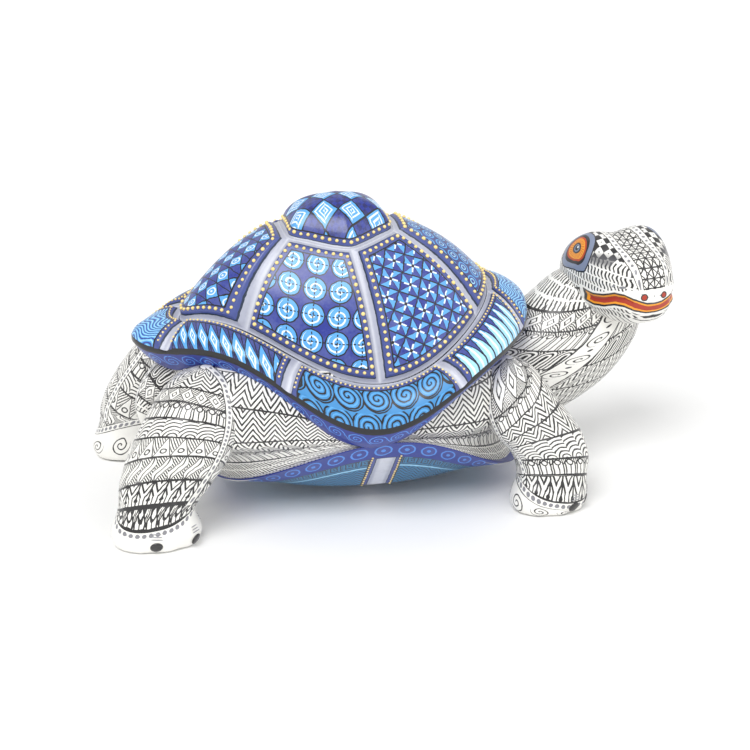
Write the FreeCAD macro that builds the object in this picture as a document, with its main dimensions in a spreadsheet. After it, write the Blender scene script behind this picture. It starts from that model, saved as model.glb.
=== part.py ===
import FreeCAD, Part
import math
import os

# Hand-carved, hand-painted wooden turtle, standing on four flat soles.
# +X points to the head, +Y to the turtle's left, +Z up; the floor is z = 0 and
# the origin is under the middle of the whole figure. Millimetres and degrees.
#
# The figure is pegged together: a torso block in the middle, a carapace cap on
# top, a plastron plate below, four legs, a tail and a neck with its head. Each
# limb is cut to a flat facet on the torso and held by one glued dowel.

vec = FreeCAD.Vector
doc = FreeCAD.newDocument("wooden_turtle")

# ---------------------------------------------------------------- sizes

PLAIN_SIZES = [
    ("shell_place", -28.03, "middle of the shell, measured along X from the origin"),
    # torso block
    ("torso_length", 152, "torso, tail end to neck end"),
    ("torso_width", 108, "torso, side to side"),
    ("torso_place", 2, "middle of the torso, ahead of the middle of the shell"),
    ("torso_crown_length", 142, "top of the torso, tail end to neck end"),
    ("torso_crown_width", 92, "top of the torso, side to side"),
    ("torso_belly_height", 42, "height where the torso reaches its full width"),
    ("torso_keel_height", 18, "lowest face of the torso block"),
    ("torso_keel_length", 100, "length of that lowest face"),
    ("torso_keel_width", 60, "width of that lowest face"),
    ("torso_above_seat", 12, "how far the block rises past the carapace's seat"),
    # carapace
    ("carapace_length", 179, "carapace edge, tail end to neck end"),
    ("carapace_width", 148, "carapace edge, side to side, before it narrows to the tail"),
    ("carapace_place", 1.5, "middle of the edge, ahead of the middle of the shell"),
    ("tail_taper", 0.56, "how much the shell narrows towards the tail"),
    ("carapace_rim", 2, "thickness of the carapace edge"),
    ("edge_height", 72, "mean height of the carapace edge"),
    ("edge_tail_lift", -0.7, "edge wave: tail end high, neck end low"),
    ("edge_side_dip", 11.9, "edge wave: both ends high, both sides low"),
    ("edge_third_wave", 4.8, "edge wave, three crests"),
    ("edge_fourth_wave", -5.5, "edge wave, four crests"),
    ("edge_fifth_wave", -1.2, "edge wave, five crests"),
    ("edge_sixth_wave", 2.6, "edge wave, six crests"),
    ("band_inset", 9, "underside band, in from the edge"),
    ("band_drop", 11.5, "underside band, down from the edge"),
    ("seat_height", 60, "flat seat where the carapace rests on the torso"),
    ("seat_length", 100, "length of that seat"),
    ("seat_width", 60, "width of that seat"),
    ("ring_length", 140, "ring groove between the edge scutes and the side scutes"),
    ("ring_width", 116, "width of the ring groove, before it narrows to the tail"),
    ("ring_place", 3, "middle of the ring, ahead of the middle of the shell"),
    ("ring_height", 81.7, "mean height of the ring groove"),
    ("ring_tail_lift", -0.3, "ring wave: tail end high, neck end low"),
    ("ring_side_dip", 10.5, "ring wave: both ends high, both sides low"),
    ("ring_third_wave", 4.6, "ring wave, three crests"),
    ("ring_fourth_wave", -3.3, "ring wave, four crests"),
    ("ring_fifth_wave", 0, "ring wave, five crests"),
    ("ring_sixth_wave", 0, "ring wave, six crests"),
    ("groove_half_width", 2.2, "half the width of every groove between scutes"),
    ("groove_depth", 1.6, "depth of every groove between scutes"),
    ("scute_swell", 4, "how far a side scute swells past a straight slope"),
    ("dome_length", 56, "top scute, along the shell"),
    ("dome_width", 50, "top scute, across the shell"),
    ("dome_place", 5, "middle of the top scute, ahead of the middle of the shell"),
    ("dome_foot_height", 122, "groove round the foot of the top scute"),
    ("dome_foot_wave", 2, "that groove: ends high, sides low"),
    ("dome_rise", 15.5, "top scute, above its foot"),
    # plastron
    ("plastron_length", 146, "plastron rim, tail end to neck end"),
    ("plastron_width", 114, "plastron rim at the waist"),
    ("plastron_place", 17, "middle of the plastron, ahead of the middle of the shell"),
    ("plastron_tip_height", 12, "height of the rim at both ends"),
    ("plastron_waist_height", 41, "height of the rim at the waist"),
    ("plastron_chine_height", 10.5, "bend between the rim band and the underside"),
    ("plastron_chine_length", 118, "length at that bend"),
    ("plastron_chine_width", 66, "width at that bend"),
    ("plastron_floor_height", 6, "lowest face of the plastron"),
    ("plastron_floor_length", 88, "length of the lowest face"),
    ("plastron_floor_width", 36, "width of the lowest face"),
    ("plastron_seat_height", 25, "flat seat where the torso rests in the plastron"),
    ("plastron_seat_length", 76, "length of that seat"),
    ("plastron_seat_width", 46, "width of that seat"),
    # facets
    ("leg_facet_angle", 56, "leg facets, turned away from the long axis"),
    ("leg_facet_depth", 7.5, "leg facets, sunk below the torso's side"),
    ("hip_height", 52, "middle of the leg facets' hips, above the floor"),
    ("hip_half_height", 17.5, "hip at the facet, half its height"),
    ("hip_half_width", 17, "hip at the facet, half its width"),
    ("hip_reach", 22, "hip, from the facet into the thigh"),
    ("hip_narrowing", 5, "how much the hip narrows each way inside the thigh"),
    ("neck_facet_depth", 8, "neck facet, sunk below the torso's front"),
    ("tail_facet_depth", 8, "tail facet, sunk below the torso's back"),
    # dowels
    ("leg_dowel_radius", 4, "leg dowels"),
    ("leg_dowel_length", 30, "leg dowels, half in the torso and half in the leg"),
    ("leg_dowel_height", 46, "leg dowels, above the floor"),
    ("neck_dowel_radius", 6, "neck dowel"),
    ("neck_dowel_length", 44, "neck dowel"),
    ("neck_dowel_height", 43, "neck dowel, above the floor"),
    ("tail_dowel_radius", 2, "tail dowel"),
    ("tail_dowel_length", 16, "tail dowel"),
    ("tail_dowel_height", 57, "tail dowel, above the floor"),
    ("carapace_dowel_radius", 4, "dowels between the torso and the carapace"),
    ("carapace_dowel_length", 24, "those dowels"),
    ("carapace_dowel_spread", 32, "those dowels, each way from the torso's middle"),
    ("plastron_dowel_radius", 3, "dowels between the torso and the plastron"),
    ("plastron_dowel_length", 20, "those dowels"),
    ("plastron_dowel_spread", 18, "those dowels, each way from the plastron's middle"),
    ("glue_gap", 0.15, "glue round each dowel"),
    ("glue_end_gap", 0.5, "glue at each end of a dowel"),
    # head
    ("head_turn", 78, "head turned to the turtle's right"),
    ("head_ahead", 68, "middle of the head, ahead of the neck facet"),
    ("head_aside", -4, "middle of the head, towards the turtle's left"),
    ("head_height", 94, "middle of the head, above the floor"),
]

# Every limb is a loft through stations. Leg stations are level ovals, placed from
# the point where the leg's facet meets the hip: ahead, outward, height, and the
# half-sizes along X and across Y.
REAR_LEG = [
    ("sole", -36, -14, 0, 17.8, 12.5),
    ("toes", -35.5, -14, 5, 19.6, 13.5),
    ("ankle", -35, -13, 15.5, 16.8, 13),
    ("shin", -30, -11.5, 27, 20.2, 14.5),
    ("knee", -22.5, -8, 40, 22.5, 16.5),
    ("thigh", -15.5, -3.5, 54.5, 20.5, 17),
    ("haunch", -12.5, 0, 63.5, 16.5, 14.5),
    ("top", -9.5, 4, 71, 8, 7.5),
]
FRONT_LEG = [
    ("sole", 37, -14.5, 0, 16, 12.5),
    ("toes", 37.5, -14.5, 5, 17.2, 13.5),
    ("ankle", 39.2, -14, 15.5, 15.8, 13),
    ("wrist", 38.2, -13.5, 26, 17.2, 14),
    ("elbow", 31, -11.5, 38.5, 19.6, 15.5),
    ("arm", 25.2, -8, 49.5, 17.2, 15.5),
    ("shoulder", 22.7, -4, 58.5, 13.6, 13.2),
    ("top", 21.2, 0, 65.5, 7.5, 7),
]
# Neck and tail stations lean: ahead of the facet, to the left, height, lean of the
# section from level, and the half-sizes in the middle plane and across it.
NECK = [
    ("root", -12, 0, 37, 70, 25, 23),
    ("collar", 6, 0, 42, 62, 26, 24),
    ("lower", 26, 1, 50, 52, 26.5, 23.5),
    ("middle", 44, 2, 62, 44, 27, 23),
    ("upper", 57, 2, 76, 34, 26, 22),
    ("nape", 62, 0, 90, 22, 19, 18),
]
TAIL = [
    ("root", 8, 0, 59, 96, 12, 11),
    ("base", -3, 0, 56.5, 112, 11.5, 10.5),
    ("middle", -11.5, 0, 50, 134, 9, 8),
    ("lower", -16, 0, 42.5, 156, 6.4, 5.6),
    ("tip", -17, 0, 35.5, 174, 3.4, 3),
]
# Head stations stand upright along the way the head looks: ahead of the middle of
# the head, height above it, and the half-sizes upwards and sideways.
HEAD = [
    ("back", -29, -5, 13, 13.5),
    ("skull", -19, -1.5, 19, 21.5),
    ("brow", -4, 0.5, 21, 24),
    ("cheek", 10, -1.5, 19.6, 20.6),
    ("snout", 21, -3, 15.8, 16),
    ("nose", 27.5, -3.5, 11.8, 12),
    ("tip", 30.5, -4, 6, 6.2),
]

sheet = doc.addObject("Spreadsheet::Sheet", "Sizes")
sizes_written = 0


def write_size(alias, value, note):
    """One row of the sheet: its name, its value and what it is."""
    global sizes_written
    sizes_written += 1
    row = str(sizes_written)
    sheet.set("A" + row, alias)
    sheet.set("B" + row, str(value))
    sheet.set("C" + row, note)
    sheet.setAlias("B" + row, alias)


def write_stations(limb, stations, columns):
    """The stations of one limb, each number under a name of its own."""
    for station in stations:
        for column, value in zip(columns, station[1:]):
            write_size("_".join((limb, station[0], column)), value, "station of the " + limb)


LEG_COLUMNS = ("ahead", "outward", "height", "half_length", "half_width")
LEANING_COLUMNS = ("ahead", "leftward", "height", "lean", "half_depth", "half_width")
HEAD_COLUMNS = ("ahead", "height", "half_height", "half_width")

for plain_size in PLAIN_SIZES:
    write_size(*plain_size)
write_stations("rear_leg", REAR_LEG, LEG_COLUMNS)
write_stations("front_leg", FRONT_LEG, LEG_COLUMNS)
write_stations("neck", NECK, LEANING_COLUMNS)
write_stations("tail", TAIL, LEANING_COLUMNS)
write_stations("head", HEAD, HEAD_COLUMNS)
doc.recompute()


def size(alias):
    return float(sheet.get(alias))


# ---------------------------------------------------------------- helpers


def bind(item, **expressions):
    """Binds each property to a cell, or to a sum of cells, of the sheet."""
    for name, expression in expressions.items():
        item.setExpression(name.replace("__", "."), expression)
    return item


def oval(name, x, y, z, half_long, half_short, turn_axis=None, turn="0"):
    """An ellipse whose place, half-sizes and turn are expressions on the sheet."""
    item = doc.addObject("Part::Ellipse", name)
    if turn_axis is not None:
        item.Placement = FreeCAD.Placement(vec(0, 0, 0), FreeCAD.Rotation(turn_axis, 1))
        bind(item, Placement__Rotation__Angle=turn)
    bind(item, Placement__Base__x=x, Placement__Base__y=y, Placement__Base__z=z)
    return bind(item, MajorRadius=half_long, MinorRadius=half_short)


def loft(name, sections, ruled=False):
    item = doc.addObject("Part::Loft", name)
    item.Sections = sections
    item.Solid = True
    item.Ruled = ruled
    return item


def joined(name, pieces):
    item = doc.addObject("Part::MultiFuse", name)
    item.Shapes = pieces
    return item


def cut(name, base, tools):
    """base with every tool taken away."""
    item = doc.addObject("Part::Cut", name)
    item.Base = base
    item.Tool = tools[0] if len(tools) == 1 else joined(name + "_tools", tools)
    return item


def mirrored(name, source):
    """The left-hand copy of a right-hand piece."""
    item = doc.addObject("Part::Mirroring", name)
    item.Source = source
    item.Normal = vec(0, 1, 0)
    return item


LOOP_POINTS = 48


def loop(name, point_at):
    """A smooth closed wire through point_at(turn), once round the shell."""
    points = [point_at(2 * math.pi * step / LOOP_POINTS) for step in range(LOOP_POINTS)]
    curve = Part.BSplineCurve()
    curve.interpolate(Points=points, PeriodicFlag=True)
    item = doc.addObject("Part::Feature", name)
    item.Shape = Part.Wire([curve.toShape()])
    return item


# ---------------------------------------------------------------- shell


def wave(prefix, turn):
    """Height of a saddle-shaped line of the shell at one turn round it."""
    return (
        size(prefix + "_height")
        + size(prefix + "_tail_lift") * math.cos(turn)
        + size(prefix + "_side_dip") * math.cos(2 * turn)
        + size(prefix + "_third_wave") * math.cos(3 * turn)
        + size(prefix + "_fourth_wave") * math.cos(4 * turn)
        + size(prefix + "_fifth_wave") * math.cos(5 * turn)
        + size(prefix + "_sixth_wave") * math.cos(6 * turn)
    )


def narrowed(turn):
    """Share of the shell's full width kept at this turn: all of it at the neck end."""
    return 1 - size("tail_taper") * ((1 - math.cos(turn)) / 2) ** 2


def edge_point(turn, inset=0.0, drop=0.0):
    middle = size("shell_place") + size("carapace_place")
    x = middle + (size("carapace_length") / 2 - inset) * math.cos(turn)
    y = (size("carapace_width") / 2 - inset) * math.sin(turn) * narrowed(turn)
    return vec(x, y, wave("edge", turn) - drop)


def ring_point(turn, inset=0.0, drop=0.0):
    middle = size("shell_place") + size("ring_place")
    x = middle + (size("ring_length") / 2 - inset) * math.cos(turn)
    y = (size("ring_width") / 2 - inset) * math.sin(turn) * narrowed(turn)
    return vec(x, y, wave("ring", turn) - drop)


def dome_point(turn, spread=0.0, rise=0.0, share=1.0):
    """On the top scute; share shrinks the loop, and rise 1 is the very top."""
    middle = size("shell_place") + size("dome_place")
    x = middle + share * (size("dome_length") / 2 + spread) * math.cos(turn)
    y = share * (size("dome_width") / 2 + spread) * math.sin(turn)
    foot = size("dome_foot_height") + (1 - rise) * size("dome_foot_wave") * math.cos(2 * turn)
    return vec(x, y, foot + rise * size("dome_rise"))


def between(low, high, share, swell):
    """A point between two loops, pushed outwards and upwards by swell."""
    middle = low * (1 - share) + high * share
    slope = high - low
    outward = vec(-slope.x, -slope.y, 0)
    length = outward.Length
    if length == 0:
        return middle
    outward = outward * (slope.z / length) + vec(0, 0, length)
    return middle + outward * (swell / outward.Length)


def flat_loop(length, width, place, height):
    """point_at for a level ellipse of the shell, sized by four cells."""
    def point_at(turn):
        x = size("shell_place") + size(place) + size(length) / 2 * math.cos(turn)
        return vec(x, size(width) / 2 * math.sin(turn), size(height))
    return point_at


def carapace_block():
    rim = size("carapace_rim")
    groove = size("groove_half_width")
    depth = size("groove_depth")
    swell = size("scute_swell")

    def marginal(turn):
        return between(edge_point(turn), ring_point(turn, -groove), 0.5, swell / 2)

    def costal(share):
        def point_at(turn):
            foot = ring_point(turn, groove)
            head = dome_point(turn, groove)
            return between(foot, head, share, swell * math.sin(math.pi * share))
        return point_at

    loops = [
        loop("seat_loop", flat_loop("seat_length", "seat_width", "torso_place", "seat_height")),
        loop("band_loop", lambda t: edge_point(t, size("band_inset"), size("band_drop"))),
        loop("edge_low_loop", lambda t: edge_point(t, 0, rim)),
        loop("edge_loop", edge_point),
        loop("marginal_loop", marginal),
        loop("ring_outer_loop", lambda t: ring_point(t, -groove)),
        loop("ring_loop", lambda t: ring_point(t, 0, depth)),
        loop("ring_inner_loop", lambda t: ring_point(t, groove)),
        loop("costal_low_loop", costal(0.3)),
        loop("costal_high_loop", costal(0.7)),
        loop("dome_groove_outer_loop", lambda t: dome_point(t, groove)),
        loop("dome_groove_loop", dome_point),
        loop("dome_foot_loop", lambda t: dome_point(t, -groove, 0.1)),
        loop("dome_side_loop", lambda t: dome_point(t, 0, 0.4, 0.88)),
        loop("dome_shoulder_loop", lambda t: dome_point(t, 0, 0.72, 0.72)),
        loop("dome_crown_loop", lambda t: dome_point(t, 0, 0.93, 0.44)),
        loop("dome_cap_loop", lambda t: dome_point(t, 0, 1.0, 0.16)),
    ]
    return loft("carapace_block", loops, ruled=True)


PLASTRON_LIFT_POWER = 4


def plastron_block():
    # The rim stays low at both ends and rises steeply to the waist.
    def rim(turn):
        lift = size("plastron_waist_height") - size("plastron_tip_height")
        x = size("shell_place") + size("plastron_place")
        x += size("plastron_length") / 2 * math.cos(turn)
        y = size("plastron_width") / 2 * math.sin(turn)
        return vec(x, y, size("plastron_tip_height") + lift * math.sin(turn) ** PLASTRON_LIFT_POWER)

    loops = []
    for level in ("floor", "chine"):
        names = ["plastron_%s_%s" % (level, part) for part in ("length", "width", "height")]
        point_at = flat_loop(names[0], names[1], "plastron_place", names[2])
        loops.append(loop("plastron_%s_loop" % level, point_at))
    loops.append(loop("plastron_rim_loop", rim))
    seat = flat_loop("plastron_seat_length", "plastron_seat_width",
                     "plastron_place", "plastron_seat_height")
    loops.append(loop("plastron_seat_loop", seat))
    return loft("plastron_block", loops, ruled=True)


def room_under_carapace():
    """Everything above the carapace's underside, within its band."""
    inset = size("band_inset")

    def ceiling(turn):
        point = edge_point(turn, inset)
        return vec(point.x, point.y, size("dome_foot_height"))

    seat = flat_loop("seat_length", "seat_width", "torso_place", "seat_height")
    return loft("room_under_carapace", [
        loop("room_seat_loop", seat),
        loop("room_band_loop", lambda t: edge_point(t, inset, size("band_drop"))),
        loop("room_ceiling_loop", ceiling),
    ], ruled=True)


def torso_block():
    middle = "Sizes.shell_place + Sizes.torso_place"
    levels = [
        ("keel", "torso_keel_length", "torso_keel_width", "Sizes.torso_keel_height"),
        ("belly", "torso_length", "torso_width", "Sizes.torso_belly_height"),
        ("crown", "torso_crown_length", "torso_crown_width", "Sizes.seat_height + Sizes.torso_above_seat"),
    ]
    sections = []
    for name, length, width, height in levels:
        half_length = "Sizes.%s / 2" % length
        half_width = "Sizes.%s / 2" % width
        sections.append(oval("torso_" + name, middle, "0", height, half_length, half_width))
    return loft("torso_block", sections, ruled=True)


# ---------------------------------------------------------------- facets and dowels


def leg_facet(end):
    """Point and outward direction of a right-hand leg facet; end is -1 rear, 1 front."""
    turn = math.radians(size("leg_facet_angle"))
    outward = vec(end * math.sin(turn), -math.cos(turn), 0)
    reach = math.hypot(size("torso_length") / 2 * outward.x, size("torso_width") / 2 * outward.y)
    middle = vec(size("shell_place") + size("torso_place"), 0, 0)
    return middle + outward * (reach - size("leg_facet_depth")), outward


def end_facet(end, depth):
    """Point and outward direction of the neck facet (end 1) or the tail facet (end -1)."""
    reach = size("torso_length") / 2 - size(depth)
    middle = size("shell_place") + size("torso_place")
    return vec(middle + end * reach, 0, 0), vec(end, 0, 0)


FACET_REACH = 200


def outside(name, facet):
    """Everything outside a facet, as a large block standing on it."""
    point, outward = facet
    block = doc.addObject("Part::Box", name)
    block.Length = FACET_REACH
    block.Width = FACET_REACH
    block.Height = FACET_REACH
    turn = FreeCAD.Rotation(vec(1, 0, 0), outward)
    corner = turn.multVec(vec(0, -FACET_REACH / 2, -FACET_REACH / 2))
    block.Placement = FreeCAD.Placement(point + corner + vec(0, 0, FACET_REACH / 4), turn)
    return block


def dowel(name, prefix, middle, axis):
    """A dowel centred on middle, sized by the cells that start with prefix."""
    rod = doc.addObject("Part::Cylinder", name)
    bind(rod, Radius="Sizes.%s_radius" % prefix, Height="Sizes.%s_length" % prefix)
    half = size(prefix + "_length") / 2
    rod.Placement = FreeCAD.Placement(middle - axis * half, FreeCAD.Rotation(vec(0, 0, 1), axis))
    return rod


def socket(name, prefix, middle, axis):
    """The hole for that dowel, larger all round by the glue."""
    hole = doc.addObject("Part::Cylinder", name)
    bind(hole, Radius="Sizes.%s_radius + Sizes.glue_gap" % prefix)
    bind(hole, Height="Sizes.%s_length + 2 * Sizes.glue_end_gap" % prefix)
    half = size(prefix + "_length") / 2 + size("glue_end_gap")
    hole.Placement = FreeCAD.Placement(middle - axis * half, FreeCAD.Rotation(vec(0, 0, 1), axis))
    return hole


# ---------------------------------------------------------------- limbs


def leg_block(limb, stations, facet):
    """The leg's own loft, and a short hip that carries it to the facet."""
    point, outward = facet
    sections = []
    for station in stations:
        cell = "Sizes.%s_%s_" % (limb, station[0])
        sections.append(oval(
            "%s_%s" % (limb, station[0]),
            "%r + %sahead" % (point.x, cell), "%r + %soutward" % (point.y, cell), cell + "height",
            cell + "half_length", cell + "half_width"))
    hip_name = limb + "_hip"
    hip = loft(hip_name, [
        oval("%s_%s" % (hip_name, place), ahead, "0", "Sizes.hip_height",
             "Sizes.hip_half_height - " + narrower, "Sizes.hip_half_width - " + narrower,
             vec(0, 1, 0), "90")
        for place, ahead, narrower in (
            ("inner", "-Sizes.leg_facet_depth", "0"),
            ("outer", "Sizes.hip_reach", "Sizes.hip_narrowing"))], ruled=True)
    hip.Placement = FreeCAD.Placement(point, FreeCAD.Rotation(vec(1, 0, 0), outward))
    return joined(limb + "_and_hip", [loft(limb + "_block", sections), hip])


def leaning_block(limb, stations, facet):
    """A loft whose sections lean away from level, towards the facet's outward side."""
    point, outward = facet
    axis = vec(0, outward.x, 0)
    sections = []
    for station in stations:
        cell = "Sizes.%s_%s_" % (limb, station[0])
        sections.append(oval(
            "%s_%s" % (limb, station[0]),
            "%r + %sahead" % (point.x, cell), cell + "leftward", cell + "height",
            cell + "half_depth", cell + "half_width", axis, cell + "lean"))
    return loft(limb + "_block", sections)


def head_block(facet):
    sections = []
    for station in HEAD:
        cell = "Sizes.head_%s_" % station[0]
        sections.append(oval(
            "head_" + station[0], cell + "ahead", "0", cell + "height",
            cell + "half_width", cell + "half_height", vec(1, 1, 1), "120"))
    block = loft("head_block", sections)
    block.Placement = FreeCAD.Placement(vec(0, 0, 0), FreeCAD.Rotation(vec(0, 0, 1), 1))
    bind(block, Placement__Rotation__Angle="-Sizes.head_turn")
    bind(block, Placement__Base__x="%r + Sizes.head_ahead" % facet[0].x)
    return bind(block, Placement__Base__y="Sizes.head_aside", Placement__Base__z="Sizes.head_height")


# ---------------------------------------------------------------- the pieces

finished = []


def finish(item, label):
    item.Label = label
    finished.append(item)


rear_facet, front_facet = leg_facet(-1), leg_facet(1)
neck_facet = end_facet(1, "neck_facet_depth")
tail_facet = end_facet(-1, "tail_facet_depth")

up = vec(0, 0, 1)
torso_middle = size("shell_place") + size("torso_place")
plastron_middle = size("shell_place") + size("plastron_place")
carapace_spread = size("carapace_dowel_spread")
plastron_spread = size("plastron_dowel_spread")
carapace_dowel_places = [
    vec(torso_middle + end * carapace_spread, 0, size("seat_height")) for end in (-1, 1)]
plastron_dowel_places = [
    vec(plastron_middle + end * plastron_spread, side * size("plastron_seat_width") / 4,
        size("plastron_seat_height"))
    for end in (-1, 1) for side in (-1, 1)]

# the dowels: name, size prefix, middle, axis
rods = {
    "rear_leg": ("leg_dowel", rear_facet[0] + up * size("leg_dowel_height"), rear_facet[1]),
    "front_leg": ("leg_dowel", front_facet[0] + up * size("leg_dowel_height"), front_facet[1]),
    "neck": ("neck_dowel", neck_facet[0] + up * size("neck_dowel_height"), neck_facet[1]),
    "tail": ("tail_dowel", tail_facet[0] + up * size("tail_dowel_height"), tail_facet[1]),
}

right_sockets = {name: socket(name + "_socket", *rod) for name, rod in rods.items()}
left_sockets = {
    name: mirrored("left_%s_socket" % name, right_sockets[name])
    for name in ("rear_leg", "front_leg")}
carapace_sockets = [
    socket("carapace_socket_%d" % number, "carapace_dowel", place, up)
    for number, place in enumerate(carapace_dowel_places)]
plastron_sockets = [
    socket("plastron_socket_%d" % number, "plastron_dowel", place, up)
    for number, place in enumerate(plastron_dowel_places)]

carapace = cut("carapace_cut", carapace_block(), carapace_sockets)
finish(carapace, "carapace")

plastron = cut("plastron_cut", plastron_block(), [carapace] + plastron_sockets)
finish(plastron, "plastron")

rear_outside = outside("rear_outside", rear_facet)
front_outside = outside("front_outside", front_facet)
neck_outside = outside("neck_outside", neck_facet)
tail_outside = outside("tail_outside", tail_facet)
torso = cut("torso_cut", torso_block(), [
    rear_outside, front_outside, neck_outside, tail_outside,
    mirrored("left_rear_outside", rear_outside), mirrored("left_front_outside", front_outside),
    carapace, room_under_carapace(), plastron] + list(right_sockets.values()) + list(left_sockets.values())
    + carapace_sockets + plastron_sockets)
finish(torso, "torso")


def outer_part(name, block, facet_block):
    """The share of a limb's block that lies outside its facet."""
    item = doc.addObject("Part::Common", name)
    item.Base = block
    item.Tool = facet_block
    return item


for limb, stations, facet, facet_block in (
        ("rear_leg", REAR_LEG, rear_facet, rear_outside),
        ("front_leg", FRONT_LEG, front_facet, front_outside)):
    blank = outer_part(limb + "_blank", leg_block(limb, stations, facet), facet_block)
    right_leg = cut(limb + "_cut", blank, [carapace, plastron, right_sockets[limb]])
    end_name = limb.split("_")[0]
    finish(right_leg, end_name + "_right_leg")
    finish(mirrored("left_" + limb, right_leg), end_name + "_left_leg")

neck_blank = outer_part("neck_blank", leaning_block("neck", NECK, neck_facet), neck_outside)
neck_and_head = joined("neck_and_head_blank", [neck_blank, head_block(neck_facet)])
finish(cut("neck_and_head_cut", neck_and_head, [carapace, plastron, right_sockets["neck"]]),
       "neck_and_head")

tail_blank = outer_part("tail_blank", leaning_block("tail", TAIL, tail_facet), tail_outside)
finish(cut("tail_cut", tail_blank, [carapace, right_sockets["tail"]]), "tail")

for name in ("rear", "front"):
    right_rod = dowel(name + "_leg_rod", *rods[name + "_leg"])
    finish(right_rod, name + "_right_leg_dowel")
    finish(mirrored("left_%s_leg_rod" % name, right_rod), name + "_left_leg_dowel")
for name in ("neck", "tail"):
    finish(dowel(name + "_rod", *rods[name]), name + "_dowel")
for name, places in (("carapace", carapace_dowel_places), ("plastron", plastron_dowel_places)):
    pegs = [dowel("%s_rod_%d" % (name, number), name + "_dowel", place, up)
            for number, place in enumerate(places)]
    group = doc.addObject("Part::Compound", name + "_rods")
    group.Links = pegs
    finish(group, name + "_dowels")

# ---------------------------------------------------------------- check and write

doc.recompute()
for item in doc.Objects:
    if "Invalid" in item.State or "Error" in item.State:
        raise RuntimeError("could not be built: " + item.Label)
for item in finished:
    if item.Shape.isNull() or not item.Shape.isValid() or not item.Shape.Solids:
        raise RuntimeError("not a sound solid: " + item.Label)

os.makedirs("parts", exist_ok=True)
whole = FreeCAD.BoundBox()
for item in finished:
    item.Shape.exportStep(os.path.join("parts", item.Label + ".step"))
    box = item.Shape.BoundBox
    whole.add(box)
    print("%-24s solids %d  volume %9.0f  x %7.1f %7.1f  y %6.1f %6.1f  z %6.1f %6.1f" % (
        item.Label, len(item.Shape.Solids), item.Shape.Volume,
        box.XMin, box.XMax, box.YMin, box.YMax, box.ZMin, box.ZMax))
print("whole figure  x %.2f %.2f  y %.2f %.2f  z %.2f %.2f" % (
    whole.XMin, whole.XMax, whole.YMin, whole.YMax, whole.ZMin, whole.ZMax))
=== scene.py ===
"""Carved wooden turtle: shell, body, legs, neck, head and tail, painted all over by hand."""

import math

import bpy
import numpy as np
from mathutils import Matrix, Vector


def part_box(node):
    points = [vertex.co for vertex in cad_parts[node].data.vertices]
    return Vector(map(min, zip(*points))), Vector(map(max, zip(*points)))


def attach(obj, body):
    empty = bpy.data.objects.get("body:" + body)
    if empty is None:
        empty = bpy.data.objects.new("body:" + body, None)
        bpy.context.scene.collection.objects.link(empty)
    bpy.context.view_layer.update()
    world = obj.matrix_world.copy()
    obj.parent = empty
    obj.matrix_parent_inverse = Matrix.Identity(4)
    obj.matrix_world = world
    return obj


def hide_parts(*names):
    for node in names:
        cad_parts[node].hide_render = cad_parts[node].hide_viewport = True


bl_info = {
    "name": "Painted Wooden Turtle",
    "version": (1, 0, 0),
    "blender": (4, 5, 0),
    "location": "View3D > Sidebar > Turtle",
    "description": "Builds a carved turtle with a painted shell around its packed frame",
    "category": "Add Mesh",
}

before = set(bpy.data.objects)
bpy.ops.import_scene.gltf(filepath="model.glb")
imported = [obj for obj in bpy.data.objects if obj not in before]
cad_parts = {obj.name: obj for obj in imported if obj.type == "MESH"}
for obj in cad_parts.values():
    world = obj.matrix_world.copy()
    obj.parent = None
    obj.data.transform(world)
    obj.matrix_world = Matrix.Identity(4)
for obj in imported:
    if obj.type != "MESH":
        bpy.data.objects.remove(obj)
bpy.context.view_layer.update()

MM = 0.001
TURN = 2 * math.pi

# ---------------------------------------------------------------- sizes and colours


class ShellSizes(bpy.types.PropertyGroup):
    """Sizes of the shell's relief, in millimetres."""
    groove_half: bpy.props.FloatProperty(
        name="Groove half width", description="Half the width of the channel between scutes", default=2.0)
    groove_depth: bpy.props.FloatProperty(
        name="Groove depth", description="How deep the channel is carved", default=0.9)
    scute_step: bpy.props.FloatProperty(
        name="Scute step", description="How far a scute stands above its channel", default=1.7)
    scute_swell: bpy.props.FloatProperty(
        name="Scute swell", description="How far the middle of a side scute bulges", default=4.0)
    dot_radius: bpy.props.FloatProperty(
        name="Dot radius", description="Radius of the gold dots on the large scutes", default=0.85)
    dot_pitch: bpy.props.FloatProperty(
        name="Dot pitch", description="Spacing of the gold dots on the large scutes", default=3.3)
    small_dot_radius: bpy.props.FloatProperty(
        name="Small dot radius", description="Radius of the gold dots on the border scutes", default=0.5)
    small_dot_pitch: bpy.props.FloatProperty(
        name="Small dot pitch", description="Spacing of the gold dots on the border scutes", default=2.05)


def colour(name, description, value):
    """A colour that the panel shows."""
    return bpy.props.FloatVectorProperty(
        name=name, description=description, subtype="COLOR", size=3, min=0, max=1, default=value)


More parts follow.
